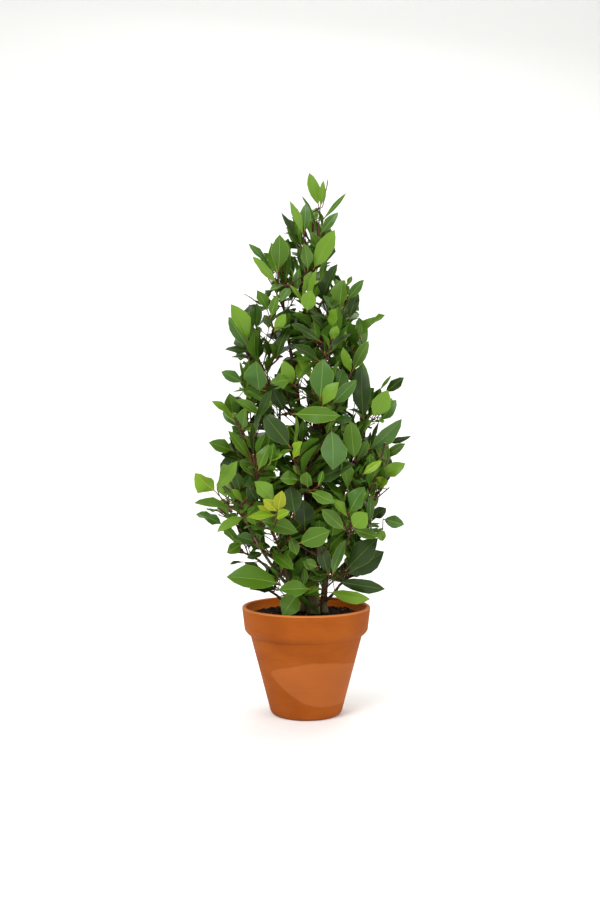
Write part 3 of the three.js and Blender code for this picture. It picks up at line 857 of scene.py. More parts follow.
# where the sky shows through the crown: column, row, radius
skyGaps = [
    (308, 215, 1), (296, 274, 1.5), (276, 275, 1.2), (274, 294, 1.5), (290, 304, 3.5), (299, 310, 2.5),
    (323, 311, 1.5), (262.5, 327, 1.5), (263.5, 336, 1.2), (273, 342, 1.8), (289, 343, 1.2), (289, 354, 2.5),
    (264, 357, 1.8), (242, 362, 1.5), (277, 370, 1.2), (271, 375, 2.2), (268, 380, 1.2), (304, 383, 4.5),
    (300, 396, 4.5), (304, 405, 3), (275, 406, 2.5), (281, 414, 3), (286, 409, 2.5), (284, 422, 3.5), (291, 422, 3),
    (251, 416, 2), (238, 395, 1.5), (244, 397, 1.5), (247, 434, 2), (260, 436, 1.5), (228, 440, 2.5),
    (307, 440, 1.5), (291, 462, 1.2), (317, 346, 1.2), (355, 405, 3), (350, 414, 3.5), (357, 419, 2.5),
    (374, 423, 2.5), (370, 431, 2), (313, 424, 2.5), (336, 425, 1.5), (393, 443, 2), (227, 526, 1.2),
    (238, 530, 1.8), (269, 538, 2.5), (272, 542, 2.5), (246, 550, 2), (251, 559, 3), (261, 560, 2), (269, 565, 2),
    (286, 577, 2), (278, 474, 1.2), (315, 486, 2), (303, 498, 2.5), (338, 486, 2), (344, 495, 1.2), (325, 540, 1.5),
    (350, 534, 1.2), (341, 559, 2.5), (339, 567, 2), (363, 539, 2), (366, 524, 1.5), (374, 522, 2), (330, 582, 2),
    (335, 588, 3), (345, 589, 4), (325, 590, 2), (354, 590, 3),
]
# the crown's outline where it is dense: row, left column, right column
outline = [
    (172, 308, 312), (200, 303, 322), (215, 290, 322), (230, 284, 332), (240, 270, 337), (255, 262, 336),
    (265, 265, 331), (275, 271, 338), (285, 268, 350), (295, 258, 358), (305, 245, 360), (315, 237, 361),
    (330, 237, 366), (345, 238, 366), (355, 236, 362), (365, 240, 362), (375, 232, 370), (385, 238, 378),
    (395, 228, 392), (405, 226, 394), (415, 232, 388), (425, 232, 384), (435, 228, 388), (445, 216, 392),
    (455, 222, 386), (465, 222, 388), (475, 220, 384), (485, 222, 379), (495, 222, 374), (505, 214, 378),
    (515, 212, 384), (525, 218, 380), (535, 229, 376), (545, 232, 372), (555, 240, 372), (565, 244, 368),
    (575, 256, 362), (585, 262, 345), (595, 276, 330), (620, 284, 325),
]
frontLook = {"lean": (2, 26), "facing": [(-0.5, 0.5), (-1, -1), (0, 1)], "curls": (0.3, 1.4), "broader": 1.15,
             "looseness": 0.35, "clearing": (60, 4), "sightReach": 0.45, "skyDepth": 600, "radii": (0.9, 0.7),
             "leadKnee": 0.6, "leadSag": 0.1, "leadShare": 0.8, "carrierSag": 0.05,
             "sizes": (1, 0.84, 0.7, 0.56, 0.45), "seed": 700}


def placedLeaf(tipColumn, tipRow, rootColumn, rootRow, layer, width, tone, roll=0):
    root = frontPlace(rootColumn, rootRow, layer)
    tip = seenAt(tipColumn, tipRow, root.y - between(*frontLook["lean"]))
    towards = (tip - root).normalized()
    upper = squareTo(Vector([between(*span) for span in frontLook["facing"]]), towards)
    upper.rotate(Quaternion(towards, math.radians(roll)))
    return {"placement": leafFrame(root, towards, upper), "size": (tip - root).length, "tone": tone, "share": 1,
            "broad": width * frontLook["broader"], "curl": leaf["curl"] * between(*frontLook["curls"]), "rise": 1,
            "looseness": frontLook["looseness"]}


# whether a grown leaf stands in the place of a front leaf or hides it
def hides(grown, front):
    start = front["placement"].translation
    line = front["placement"].to_3x3() @ Vector((front["size"], 0, 0))
    flat = Vector((line.x, line.z))
    for part in (0.3, 0.6, 0.95):
        point = grown["placement"] @ Vector((grown["size"] * part, 0, 0))
        across = Vector((point.x - start.x, point.z - start.z))
        share = across.dot(flat) / flat.length_squared
        aside = abs(across.cross(flat)) / flat.length
        nearer, farther = frontLook["clearing"]
        if 0 < share < 1 and aside < front["broad"] * front["size"] / 2:
            if start.y - nearer < point.y < start.y + farther:
                return True
    return False


def leavesTheOutline(grown):
    for part in (0.4, 0.7, 1):
        column, row = columnAndRow(grown["placement"] @ Vector((grown["size"] * part, 0, 0)))
        sides = tableAt(outline, row)
        if not sides or not sides[0] < column < sides[1]:
            return True
    return False


# lines of sight that stay open: to the sky through the gaps, and to the wood that shows
def openSights():
    sights = []
    around = [(0, 0), (0.7, 0.7), (-0.7, 0.7), (0.7, -0.7), (-0.7, -0.7), (1, 0), (-1, 0), (0, 1), (0, -1)]
    for column, row, radius in skyGaps:
        for right, down in around:
            target = seenAt(column + right * radius, row + down * radius, frontLook["skyDepth"])
            sights.append((column, row, target))
    olive = next(shoot for shoot in shoots if shoot["name"] == prunedLook["shoot"])
    shown = [pointOn(olive["curve"], i / 20) for i in range(5, 21)]
    shown += [axisPoint(olive["main"], i / 20) for i in range(20)]
    for twig in [twig for twig in placedTwigs if twig["isCut"]]:
        shown += [pointOn(twig["curve"], i / 12) for i in range(13)]
    for point in shown:
        sights.append((*columnAndRow(point), point - Vector((0, 3, 0))))
    return sights


def blocksASight(grown):
    middle = grown["placement"] @ Vector((grown["size"] / 2, 0, 0))
    column, row = columnAndRow(middle)
    eye = Vector(photoView["eye"])
    for sightColumn, sightRow, target in sights:
        if math.hypot(sightColumn - column, sightRow - row) < grown["size"] * frontLook["sightReach"]:
            way = target - eye
            if grown["shape"]["tree"].ray_cast(eye, way.normalized(), way.length)[0]:
                return True
    return False


# points on a shoot's own wood that a twig may leave from
def woodPoints(shoot):
    points = [axisPoint(twig, share) for twig in shoot["twigs"] if "isCarrier" not in twig
              for share in (0.3, 0.5, 0.7, 0.9)]
    return points + [pointOn(shoot["curve"], i / 10) for i in range(3, 10)]


# the wood that a place hangs on best, which is rather below and behind it than above or in front
def nearestWood(place, tone):
    best, least = None, math.inf
    for shoot in shoots:
        if tone == "young" and not shoot["young"]:
            continue
        for point in woodPoints(shoot):
            reach = (point - place).length + 2 * max(0, point.z - place.z) + max(0, place.y - point.y)
            if reach < least:
                best, least = (shoot, point), reach
    return best


def isInTheWay(grown):
    if leavesTheOutline(grown) or blocksASight(grown):
        return True
    return any(hides(grown, front) for front in placedLeaves)


# a grown leaf in the largest size that is out of the way, if it has one
def fitted(grown):
    for share in frontLook["sizes"]:
        smaller = {**grown, "size": grown["size"] * share}
        smaller["shape"] = leafRoom(smaller, grown["placement"], 0, 0)
        if not isInTheWay(smaller):
            return smaller
    return None


def clearTheFront():
    for shoot in shoots:
        for twig in shoot["twigs"]:
            kept = []
            for grown in twig["leaves"]:
                takeAway(grown["shape"])
                smaller = fitted(grown)
                if smaller:
                    stand(smaller["shape"])
                    kept.append(smaller)
            twig["leaves"] = kept


def placedTwig(startColumn, startRow, middleColumn, middleRow, endColumn, endRow, layer, radii, isCut=False):
    start, middle, end = (frontPlace(column, row, layer) for column, row in
                          ((startColumn, startRow), (middleColumn, middleRow), (endColumn, endRow)))
    curve = (start, middle * 2 - (start + end) / 2, end)
    return {"curve": curve, "steps": 6, "radii": radii, "leaves": [], "isFront": True, "isCut": isCut}


# a front twig with the wood that leads to it
def addFrontTwigs():
    for twig in placedTwigs:
        first = twig["curve"][0]
        shoot, start = nearestWood(first, "")
        knee = start.lerp(first, frontLook["leadKnee"]) - up * frontLook["leadSag"] * (first - start).length
        thickness = twig["radii"][0]
        shoot["twigs"].append({"curve": (start, knee, first), "steps": 4, "leaves": [], "isFront": True,
                               "radii": (thickness * frontLook["leadShare"], thickness)})
        shoot["twigs"].append(twig)


def addFrontLeaves():
    for front in placedLeaves:
        root = front["placement"].translation
        shoot, start = nearestWood(root, front["tone"])
        middle = start.lerp(root, 0.5) - up * frontLook["carrierSag"] * (root - start).length
        front["shape"] = leafRoom(front, front["placement"], 0, 0)
        stand(front["shape"])
        shoot["shapes"].append(front["shape"])
        shoot["twigs"].append({"curve": (start, middle, root), "steps": 3, "radii": frontLook["radii"],
                               "leaves": [front], "isFront": True, "isCarrier": True})


# the olive shoot and the twigs that shears have cut
prunedLook = {"shoot": "01_olive_shoot", "radii": (2.8, 2.3), "beyond": 7, "cut": "c8a878", "cutDepth": 0.8}
reseed(frontLook["seed"])
placedLeaves = [placedLeaf(*row) for row in frontLeaves]
placedTwigs = [placedTwig(*row) for row in frontTwigs]
sights = openSights()
clearTheFront()
addFrontTwigs()
addFrontLeaves()
print("front:", len(placedLeaves), "leaves and", len(placedTwigs), "twigs")

# finer twigs and smaller leaves, grown on from the twigs by the same rule
fine = {"mainShares": (0.1, 0.22, 0.34, 0.46, 0.58, 0.7, 0.82, 0.94), "sideShares": (0.15, 0.35, 0.5, 0.65, 0.85),
        "lean": 50, "leanSpread": 10, "lengths": (22, 40), "rise": 0.6, "bare": 0.3, "radii": (0.9, 0.6),
        "leafSizes": (0.55, 0.92), "leastLeaves": 2, "seed": 90000}


def plannedFineTwigs(twig, shares):
    turn = between(0, 360)
    planned = []
    for share in shares:
        lean = fine["lean"] + between(-fine["leanSpread"], fine["leanSpread"])
        length = between(*fine["lengths"])
        along = directionOn(twig["curve"], share)
        planned.append(leavingTwig(axisPoint(twig, share), along, turn, lean, length, fine))
        turn += goldenAngle
    return planned


# leaves of a finer twig, which is left out if too few of them have room
def growFineLeaves(shoot, twig):
    for spot in leafSpots(twig):
        spot["size"] *= between(*fine["leafSizes"])
        grown = growLeaf(twig, spot, shoot["shapes"] + [other["shape"] for other in twig["leaves"]])
        grown = fitted(grown) if grown else None
        if grown:
            twig["leaves"].append(grown)
    if len(twig["leaves"]) < fine["leastLeaves"]:
        return False
    leaves, twig["leaves"] = twig["leaves"], []
    for grown in leaves:
        settle(shoot, grown, twig["leaves"])
    return True


def addIfLeafy(shoot, twig, ignored):
    if isFree(twig["shape"], ignored) and growFineLeaves(shoot, twig):
        settle(shoot, twig, shoot["twigs"])


for index, shoot in enumerate(shoots):
    reseed(fine["seed"] + index)
    for twig in shoot["twigs"][:]:
        shares = fine["mainShares"] if twig is shoot["main"] or "isCut" in twig else fine["sideShares"]
        for extra in plannedFineTwigs(twig, shares):
            addIfLeafy(shoot, extra, shoot["shapes"])

# short leafy twigs straight from the stems, which darken the inside of the crown; their sprays are always dealt the
# dark tone, painted shade for the inside of the crown
inner = {"shares": (0.05, 0.96), "count": 46, "lean": 62, "lengths": (30, 90), "reach": 0.8, "rise": 0.4, "bare": 0.35,
         "radii": fine["radii"], "seed": 95000}


def plannedInnerTwigs(stem):
    turn = between(0, 360)
    planned = []
    for k in range(inner["count"]):
        share = lerp(*inner["shares"], k / (inner["count"] - 1))
        along = directionOn(stem["curve"], share)
        out = sideways(along, turn) * stemRadius(stem["radii"], share) * inner["reach"]
        start = pointOn(stem["curve"], share) + out
        length = between(*inner["lengths"])
        planned.append({**leavingTwig(start, along, turn, inner["lean"], length, inner), "isInner": True})
        turn += goldenAngle
    return planned


for index, (stem, shoot) in enumerate(zip(grownStems, shoots)):
    reseed(inner["seed"] + index)
    for extra in plannedInnerTwigs(stem):
        addIfLeafy(shoot, extra, shoot["shapes"] + [stem["shape"]])
for shoot in shoots:
    shoot["twigs"] = [twig for twig in shoot["twigs"] if twig["leaves"] or "isFront" in twig or twig is shoot["main"]]
    shoot["leaves"] = [grown for twig in shoot["twigs"] for grown in twig["leaves"]]
printCount("with finer twigs:")

# twigs, swollen a little under each leaf, with a bud at the tip
twigLook = {"swell": 1.3, "swellReach": 0.04, "budLength": 5, "budRadii": [(0.3, 1.25), (0.7, 0.8), (1, 0.15)],
            "colour": "4c2b18", "leastShare": 0.7, "beyond": 0.02}


def twigRun(twig):
    isFront = "isFront" in twig
    roots = {grown["share"] for grown in twig["leaves"]}
    last = 1 if isFront else min(1, max(roots | {twigLook["leastShare"]}) + twigLook["beyond"])
    shares = {i / twig["steps"] for i in range(twig["steps"])} | {last} if isFront else {0.0, 0.5, last}
    for share in roots:
        shares |= {max(0, share - twigLook["swellReach"]), share, min(last, share + twigLook["swellReach"])}
    run = [(axisPoint(twig, share), lerp(*twig["radii"], share) * (twigLook["swell"] if share in roots else 1))
           for share in sorted(shares)]
    if isFront:
        return run
    tip = axisPoint(twig, last)
    bud = (tip - axisPoint(twig, last - 0.2)).normalized() * twigLook["budLength"]
    return run + [(tip + bud * part, twig["radii"][1] * radius) for part, radius in twigLook["budRadii"]]


twigWood = plainMaterial("redBrownTwig", twigLook["colour"], 0.6, 0.25)
twigPiece = tubes("twigs", [twigRun(twig) for shoot in shoots for twig in shoot["twigs"]], 1, twigWood)
print("twigs:", len(twigPiece.data.polygons), "faces")


# shoots cut back by shears: thicker wood in the middle of the olive shoot, and pale cut ends
def prunedRuns():
    olive = next(shoot for shoot in shoots if shoot["name"] == prunedLook["shoot"])
    line = [axisPoint(olive["main"], i / 4) for i in range(5)]
    along = (line[-1] - line[-2]).normalized()
    line.append(line[-1] + (along + Vector((-0.3, -0.3, 0))).normalized() * prunedLook["beyond"])
    last = len(line) - 1
    wood = [(point, lerp(*prunedLook["radii"], i / last)) for i, point in enumerate(line)]
    ends = [(line[-1], (line[-1] - line[-2]).normalized(), prunedLook["radii"][1])]
    ends += [(twig["curve"][2], directionOn(twig["curve"], 1), twig["radii"][1])
             for twig in placedTwigs if twig["isCut"]]
    cuts = [[(end - along * 0.2, radius * 0.97), (end + along * prunedLook["cutDepth"], radius * 0.9)]
            for end, along, radius in ends]
    return [wood], cuts


prunedWood, cutEnds = prunedRuns()
prunedPiece = tubes("prunedWood", prunedWood, 3, bark)
cutPiece = tubes("cutEnds", cutEnds, 3, plainMaterial("paleCutWood", prunedLook["cut"], 0.8, 0.2))

# leaves
leafLook = {"stations": (0, 0.09, 0.2, 0.35, 0.52, 0.7, 0.87, 1), "margin": 0.6,
            "stalk": 0.85, "rib": (0.62, 0.26), "width": 0.42, "thick": 0.45, "fold": 0.17, "sharpness": 0.8,
            "wave": 0.1, "waves": 1.7, "crinkle": 0.06, "crinkles": 4.3, "notch": 0.04, "notches": 3.7,
            "smoothAngle": 55, "darkShare": 0.4, "coolShare": 0.35, "freshFrom": 0.7, "freshShare": 0.65,
            "strayShare": 0.16, "youngFrom": 0.45, "youngShares": {"07_yellow_tuft": 0.5, "06_left_tuft": 0.4},
            "widths": (0.84, 1.12), "waviness": (0.3, 1.6), "twists": (-0.5, 0.5), "sways": (-0.06, 0.06),
            "seed": 4321,
            "finishes": [("dark", "243b08", 0.42, 0.3), ("middle", "44660e", 0.44, 0.3), ("cool", "3e6220", 0.42, 0.34),
                         ("light", "5e821a", 0.46, 0.3), ("fresh", "6a8e10", 0.46, 0.3), ("young", "868e0e", 0.52, 0.3),
                         ("under", "43651a", 0.9, 0.1), ("youngUnder", "7f942c", 0.9, 0.12),
                         ("darkRib", "54691f", 0.55, 0.26), ("rib", "708a2e", 0.55, 0.26),
                         ("youngRib", "a2a83a", 0.55, 0.3), ("stalk", "84522a", 0.55, 0.3)]}


def bladeWidth(along):
    share = (along - leafLook["stations"][1]) / (1 - leafLook["stations"][1])
    return math.sin(math.pi * max(0, share)) ** leafLook["sharpness"] if 0 < share < 1 else 0


# one leaf drawn out of a ring of eight, station by station, to a point at its tip; round the ring come the
# midrib's edge, the pale border's inner edge and the margin, the midrib below, and the same on the other side
def leafPrototype():
    deselectAll()
    bpy.ops.mesh.primitive_circle_add(vertices=8, radius=0.5, fill_type="NGON", rotation=(0, math.pi / 2, 0))
    bpy.ops.object.transform_apply(rotation=True)
    bpy.ops.object.mode_set(mode="EDIT")
    bpy.ops.mesh.select_all(action="SELECT")
    last = len(leafLook["stations"]) - 1
    for _ in range(last):
        bpy.ops.mesh.extrude_region_move(TRANSFORM_OT_translate={"value": (1, 0, 0)})
    bpy.ops.mesh.merge(type="CENTER")
    bpy.ops.mesh.select_all(action="SELECT")
    bpy.ops.mesh.normals_make_consistent(inside=False)
    bpy.ops.object.mode_set(mode="OBJECT")
    piece = namedPiece("leafPrototype")
    corners = np.array([v.co for v in piece.data.vertices])
    station = np.rint(corners[:, 0]).astype(int)
    around = np.arctan2(corners[:, 2], corners[:, 1])
    ring = around[station == 0]
    turn = np.rint((around - ring[0]) / (math.pi / 4)).astype(int) % 8
    faces = [fromInside(list(face.vertices), station, turn) for face in piece.data.polygons]
    kinds = np.array([stripKind(station[face], turn[face]) for face in faces])
    bpy.data.objects.remove(piece)
    return {"station": station, "turn": turn, "loops": np.concatenate(faces),
            "sizes": np.array([len(face) for face in faces]), "kinds": kinds}


# a face's corners from its lowest one at the midrib, so that both sides of a blade are split the same way
def fromInside(face, station, turn):
    first = min(range(len(face)), key=lambda k: (station[face[k]], turn[face[k]] in (1, 2, 5, 6)))
    return face[first:] + face[:first]


# which finish a face of the prototype takes: 0 upper side, 1 underside, 2 midrib, 3 stalk
def stripKind(stations, turns):
    if stations.max() <= 1:
        return 3
    turns = set(turns[stations < len(leafLook["stations"]) - 1])
    if turns in ({0, 7}, {3, 4}, {1, 2}, {5, 6}):
        return 2
    return 1 if turns & {3, 4} else 0


# every leaf's corners in millimetres: leaves down, corners across, then x, y, z
def leafCoordinates(leaves):
    def column(key):
        return np.array([grown[key] for grown in leaves])[:, None]

    length, width = column("size"), column("size") * column("broad")
    along = np.array(leafLook["stations"])[prototype["station"]]
    blade = np.array([bladeWidth(t) for t in leafLook["stations"]])[prototype["station"]]
    isStalk = prototype["station"] <= 1
    isTip = prototype["station"] == len(leafLook["stations"]) - 1
    side = np.array([1, 1, 1, 1, -1, -1, -1, -1])[prototype["turn"]]
    level = np.array([1, 0.3, 0, -1, -1, 0, 0.3, 1])[prototype["turn"]]
    isMargin = (level == 0) | (level == 0.3)
    border = np.where(level == 0.3, leafLook["margin"], 0)
    ribHalf = np.where(isTip, 0, lerp(*leafLook["rib"], along))
    notched = 1 + leafLook["notch"] * np.sin(2 * math.pi * (leafLook["notches"] * along + column("phase") + 0.2 * side))
    across = np.where(isMargin, np.maximum(blade * notched * width / 2 - border, ribHalf * 1.02), ribHalf)
    across = np.where(isStalk, np.where(isMargin, 1, 0.5) * leafLook["stalk"], across) * side
    thick = np.where(isStalk, leafLook["stalk"] * 0.9, leafLook["thick"] + 0.25 * (1 - along))
    thick = np.where(isTip, 0, thick)
    arch = column("curl") * length * archAt(along)
    margin = np.where(isStalk, 0, np.abs(across) / (width / 2))
    phase = column("phase")
    wave = column("wave") * np.sin(2 * math.pi * (leafLook["waves"] * along + phase + 0.35 * side))
    wave = wave + column("crinkle") * np.sin(2 * math.pi * (leafLook["crinkles"] * along + 3 * phase + 0.2 * side))
    lift = (leafLook["fold"] * column("folded") + wave) * width * margin + level * thick
    turned = column("twist") * along
    y = arch + lift * np.cos(turned) - across * np.sin(turned)
    z = across * np.cos(turned) + lift * np.sin(turned) + column("sway") * length * along * along
    return np.stack([along * length + 0 * y, y, z], -1)


# every leaf's corners in metres; a leaf that would leave the plant's box is made smaller
def leafPlaces(leaves):
    turns = np.array([grown["placement"].to_3x3() for grown in leaves])
    roots = np.array([grown["placement"].translation for grown in leaves])
    for _ in range(6):
        places = (np.einsum("nij,npj->npi", turns, leafCoordinates(leaves)) + roots[:, None]) * mm
        outside = ((places.min(1) < np.array(cadLow)) | (places.max(1) > np.array(cadHigh))).any(1)
        for place in np.nonzero(outside)[0]:
            leaves[place]["size"] *= 0.92
    return places


def leafMesh(name, leaves, finishes):
    places = leafPlaces(leaves)
    count, corners = places.shape[:2]
    loops = (prototype["loops"][None] + corners * np.arange(count)[:, None]).ravel()
    sizes = np.tile(prototype["sizes"], count)
    mesh = bpy.data.meshes.new(name)
    mesh.vertices.add(count * corners)
    mesh.vertices.foreach_set("co", places.ravel())
    mesh.loops.add(len(loops))
    mesh.loops.foreach_set("vertex_index", loops)
    mesh.polygons.add(len(sizes))
    mesh.polygons.foreach_set("loop_start", np.concatenate([[0], np.cumsum(sizes)[:-1]]))
    mesh.polygons.foreach_set("loop_total", sizes)
    mesh.polygons.foreach_set("material_index", finishesOf(leaves, finishes).ravel())
    for finish in finishes:
        mesh.materials.append(leafFinishes[finish])
    mesh.update(calc_edges=True)
    mesh.validate()
    piece = addPiece(name, mesh)
    bpy.ops.object.shade_smooth_by_angle(angle=math.radians(leafLook["smoothAngle"]))
    return piece


# the finish of every face: a leaf's own tone above and below, then midrib and stalk
def finishesOf(leaves, finishes):
    rows = []
    for grown in leaves:
        tone = grown["tone"]
        under = "youngUnder" if tone == "young" else "under"
        rib = "youngRib" if tone in ("young", "fresh") else "darkRib" if tone == "dark" else "rib"
        rows.append([finishes.index(kind) for kind in (tone, under, rib, "stalk")])
    return np.array(rows)[:, prototype["kinds"]]


# tones are dealt out by spray, and a spray's last leaves are a tone lighter
def dealTones(shoot):
    youngShare = leafLook["youngShares"].get(shoot["name"], 0)
    for twig in shoot["twigs"]:
        tones = ["dark", "cool" if draw() < leafLook["coolShare"] else "middle", "light"]
        # sprays on inner twigs always start from the dark tone: painted shade inside the crown
        chosen = 0 if draw() < leafLook["darkShare"] or "isInner" in twig else 1
        for grown in twig["leaves"]:
            tone = chosen + (1 if grown["rise"] > leafLook["freshFrom"] and draw() < leafLook["freshShare"] else 0)
            tone = tones[min(2, tone + (1 if draw() < leafLook["strayShare"] else 0))]
            if shoot["young"] and grown["rise"] > leafLook["youngFrom"] and draw() < youngShare:
                tone = "young"
            grown["tone"] = grown.get("tone", tone)
            grown["broad"] = grown.get("broad", leafLook["width"] * between(*leafLook["widths"]))
            for kind in ("wave", "crinkle"):
                grown[kind] = leafLook[kind] * between(*leafLook["waviness"])
            grown["phase"] = draw()
            grown["folded"] = between(*leafLook["waviness"])
            grown["twist"] = between(*leafLook["twists"]) * grown.get("looseness", 1)
            grown["sway"] = between(*leafLook["sways"]) * grown.get("looseness", 1)


prototype = leafPrototype()
leafFinishes = {name: plainMaterial(name + "Leaf", *finish) for name, *finish in leafLook["finishes"]}
reseed(leafLook["seed"])
for shoot in shoots:
    dealTones(shoot)
greenFinishes = [finish[0] for finish in leafLook["finishes"] if finish[0] not in ("young", "youngUnder")]
greenLeaves, youngLeaves = (
    leafMesh(name, [grown for shoot in shoots if shoot["young"] == isYoung for grown in shoot["leaves"]], finishes)
    for name, isYoung, finishes in (("greenLeaves", False, greenFinishes),
                                    ("youngLeaves", True, greenFinishes + ["young", "youngUnder"])))
print("leaves:", len(greenLeaves.data.polygons), "and", len(youngLeaves.data.polygons), "faces")

# the pot, turned ring by ring
# lip: a painted highlight on the rim's top faces; inside: painted light, brighter clay on the inner wall where the
# crown shades it
potLook = {"around": 96, "arc": 6, "clay": "974b10", "darkClay": "8c430c", "paleClay": "a15314", "patch": "b06432",
           "patchEdge": "8a4a20", "roughness": 0.7, "lip": ("cf8146", 0.1805, 0.6), "inside": ("f07a24", 0.1045, 1.0),
           "patchTop": (0.103, 0.02, -2.8), "patchFoot": (0.022, 0.031, 6.6), "patchCorner": 0.02,
           "patchEnd": 0.03, "patchFade": 20.0, "patchRagged": 0.006, "patchSoft": 0.004, "patchLine": 500.0,
           "patchShares": (0.5, 0.35), "smoothAngle": 50}


def arc(start, corner, end, count=potLook["arc"]):
    points = [Vector(p).to_3d() for p in (start, corner, end)]
    return [tuple(pointOn(points, i / count))[:2] for i in range(count + 1)]


def wallBetween(start, end, count):
    return [(lerp(start[0], end[0], i / count), lerp(start[1], end[1], i / count)) for i in range(1, count)]


def turnedPiece(name, profile, around):
    deselectAll()
    radius, height = profile[0]
    bpy.ops.mesh.primitive_circle_add(vertices=around, radius=radius * mm, location=(0, 0, height * mm))
    piece = namedPiece(name)
    bpy.ops.object.transform_apply(location=True)
    bpy.ops.object.mode_set(mode="EDIT")
    bpy.ops.mesh.select_all(action="SELECT")
    for nextRadius, nextHeight in profile[1:]:
        bpy.ops.mesh.extrude_region_move(TRANSFORM_OT_translate={"value": (0, 0, (nextHeight - height) * mm)})
        grow = nextRadius / radius
        bpy.ops.transform.resize(value=(grow, grow, 1), center_override=(0, 0, nextHeight * mm))
        radius, height = nextRadius, nextHeight
    bpy.ops.object.mode_set(mode="OBJECT")
    cleanMesh(piece)
    bpy.ops.object.shade_smooth_by_angle(angle=math.radians(potLook["smoothAngle"]))
    return piece


def fineProfile():
    height, foot, rounding = pot["height"], pot["foot"], pot["footRounding"]
    bandFoot = height - pot["band"]
    bandRadius = pot["rim"] - pot["bandTaper"]
    bodyTop = bandRadius - pot["bandStep"]
    lipInside, lipMiddle = pot["rim"] - pot["lip"], pot["rim"] - pot["lip"] / 2
    footCurve = arc((foot - rounding, 0), (foot - 1, 0), (foot + 1, rounding))
    bandCurve = arc((bodyTop, bandFoot - 4), (bodyTop + 5, bandFoot - 3), (bandRadius, bandFoot + 5))
    lipCurve = arc((pot["rim"], height - 3), (pot["rim"], height), (lipMiddle, height))
    lipCurve += arc((lipMiddle, height), (lipInside, height), (lipInside, height - 3))[1:]
    neck = (bodyTop - pot["wall"], bandFoot)
    inside = (foot - pot["wall"], pot["floor"])
    return [(pot["drain"], 0), *footCurve, *wallBetween(footCurve[-1], bandCurve[0], 14), *bandCurve,
            *wallBetween(bandCurve[-1], lipCurve[0], 5), *lipCurve, *wallBetween(lipCurve[-1], neck, 4), neck,
            *wallBetween(neck, inside, 8), inside, (pot["drain"], pot["floor"]), (pot["drain"], 0)]


# fired clay with faint turning lines, cloudy tones, and a paler patch low on the front; a painted highlight on the
# lip's top and painted light on the inside wall above the compost
def clayMaterial():
    def calc(operation, *values):
        return mathNode(made, operation, *values)

    made = plainMaterial("terracotta", potLook["clay"], potLook["roughness"], 0.12)
    stops = [(0.3, potLook["darkClay"]), (0.5, potLook["clay"]), (0.72, potLook["paleClay"])]
    clay = addRamp(made, addNoise(made, 14, (1, 1, 1.6), 5.0), stops)
    parts = addNode(made, "ShaderNodeSeparateXYZ", Vector=objectPlace(made))
    x, y, z = (parts.outputs[i] for i in range(3))

    # how deep a place is inside the patch, between its bent foot and its bent top
    footHeight, footMiddle, footBend = potLook["patchFoot"]
    leftwards = calc("MAXIMUM", calc("SUBTRACT", footMiddle, x), 0.0)
    foot = calc("ADD", calc("MULTIPLY", calc("POWER", leftwards, 2.0), footBend), footHeight)
    topHeight, topMiddle, topBend = potLook["patchTop"]
    aside = calc("ABSOLUTE", calc("SUBTRACT", x, topMiddle))
    top = calc("ADD", calc("MULTIPLY", calc("POWER", aside, 2.0), topBend), topHeight)
    depth = calc("SMOOTH_MIN", calc("SUBTRACT", z, foot), calc("SUBTRACT", top, z), potLook["patchCorner"])
    depth = calc("ADD", depth, calc("MULTIPLY", calc("SUBTRACT", addNoise(made, 30), 0.5), potLook["patchRagged"]))
    ahead = calc("MULTIPLY", calc("SUBTRACT", potLook["patchEnd"], y), potLook["patchFade"])
    ahead = calc("MINIMUM", 1.0, calc("MAXIMUM", 0.0, ahead))
    fill = addNode(made, "ShaderNodeMapRange", interpolation_type="SMOOTHSTEP", Value=depth,
                   **{"From Min": 0.0, "From Max": potLook["patchSoft"]}).outputs["Result"]
    fromEdge = calc("MULTIPLY", calc("ABSOLUTE", depth), potLook["patchLine"])
    edge = calc("SUBTRACT", 1.0, calc("MINIMUM", 1.0, fromEdge))
    mixed = clay
    for share, most, base in zip((fill, edge), potLook["patchShares"], ("patch", "patchEdge")):
        mixed = mixColours(made, calc("MULTIPLY", calc("MULTIPLY", share, ahead), most), mixed, colour(potLook[base]))

    # a painted highlight: the lip's top faces are made paler, as if lit from above
    paintedLipHighlight, lipHeight, lipHighlightShare = potLook["lip"]
    lipHighlightMask = calc("MULTIPLY", calc("GREATER_THAN", z, lipHeight), lipHighlightShare)
    mixed = mixColours(made, lipHighlightMask, mixed, colour(paintedLipHighlight))
    # painted light: the inner wall above the compost is made brighter against the shade of the crown and the pot's own
    # wall
    paintedInsideLight, insideRadius, insideLightShare = potLook["inside"]
    squares = [calc("POWER", calc("ABSOLUTE", side), 2.0) for side in (x, y)]
    radius = calc("SQRT", calc("ADD", *squares))
    isHigh = calc("GREATER_THAN", z, ground * mm - 0.01)
    isInside = calc("MULTIPLY", calc("LESS_THAN", radius, insideRadius), isHigh)
    mixed = mixColours(made, calc("MULTIPLY", isInside, insideLightShare), mixed, colour(paintedInsideLight))
    feedShader(made, "Base Color", mixed)
    addBump(made, addNoise(made, 5, (0.4, 0.4, 60), 3.0), 0.0006)
    return made


potPiece = turnedPiece("potBody", fineProfile(), potLook["around"])
potPiece.data.materials.append(clayMaterial())
print("pot:", len(potPiece.data.polygons), "faces")

# compost: a plug that fills the pot, with a crumbly top and loose crumbs
soilLook = {"segments": 96, "rings": 60, "fit": 0.8, "edgeDrop": 5, "edgeShare": 0.86, "wallShare": 1.6,
            "relief": 0.004, "crumbs": 700, "crumbSize": (0.8, 2.6), "crumbSink": 0.6, "crumbLift": (-0.4, 0.8),
            "crumbShape": [(0.6, 1.3), (0.6, 1.3), (0.35, 0.7)], "crumbEdge": 8, "brown": 0.62, "pale": 0.85,
            "seed": 77}


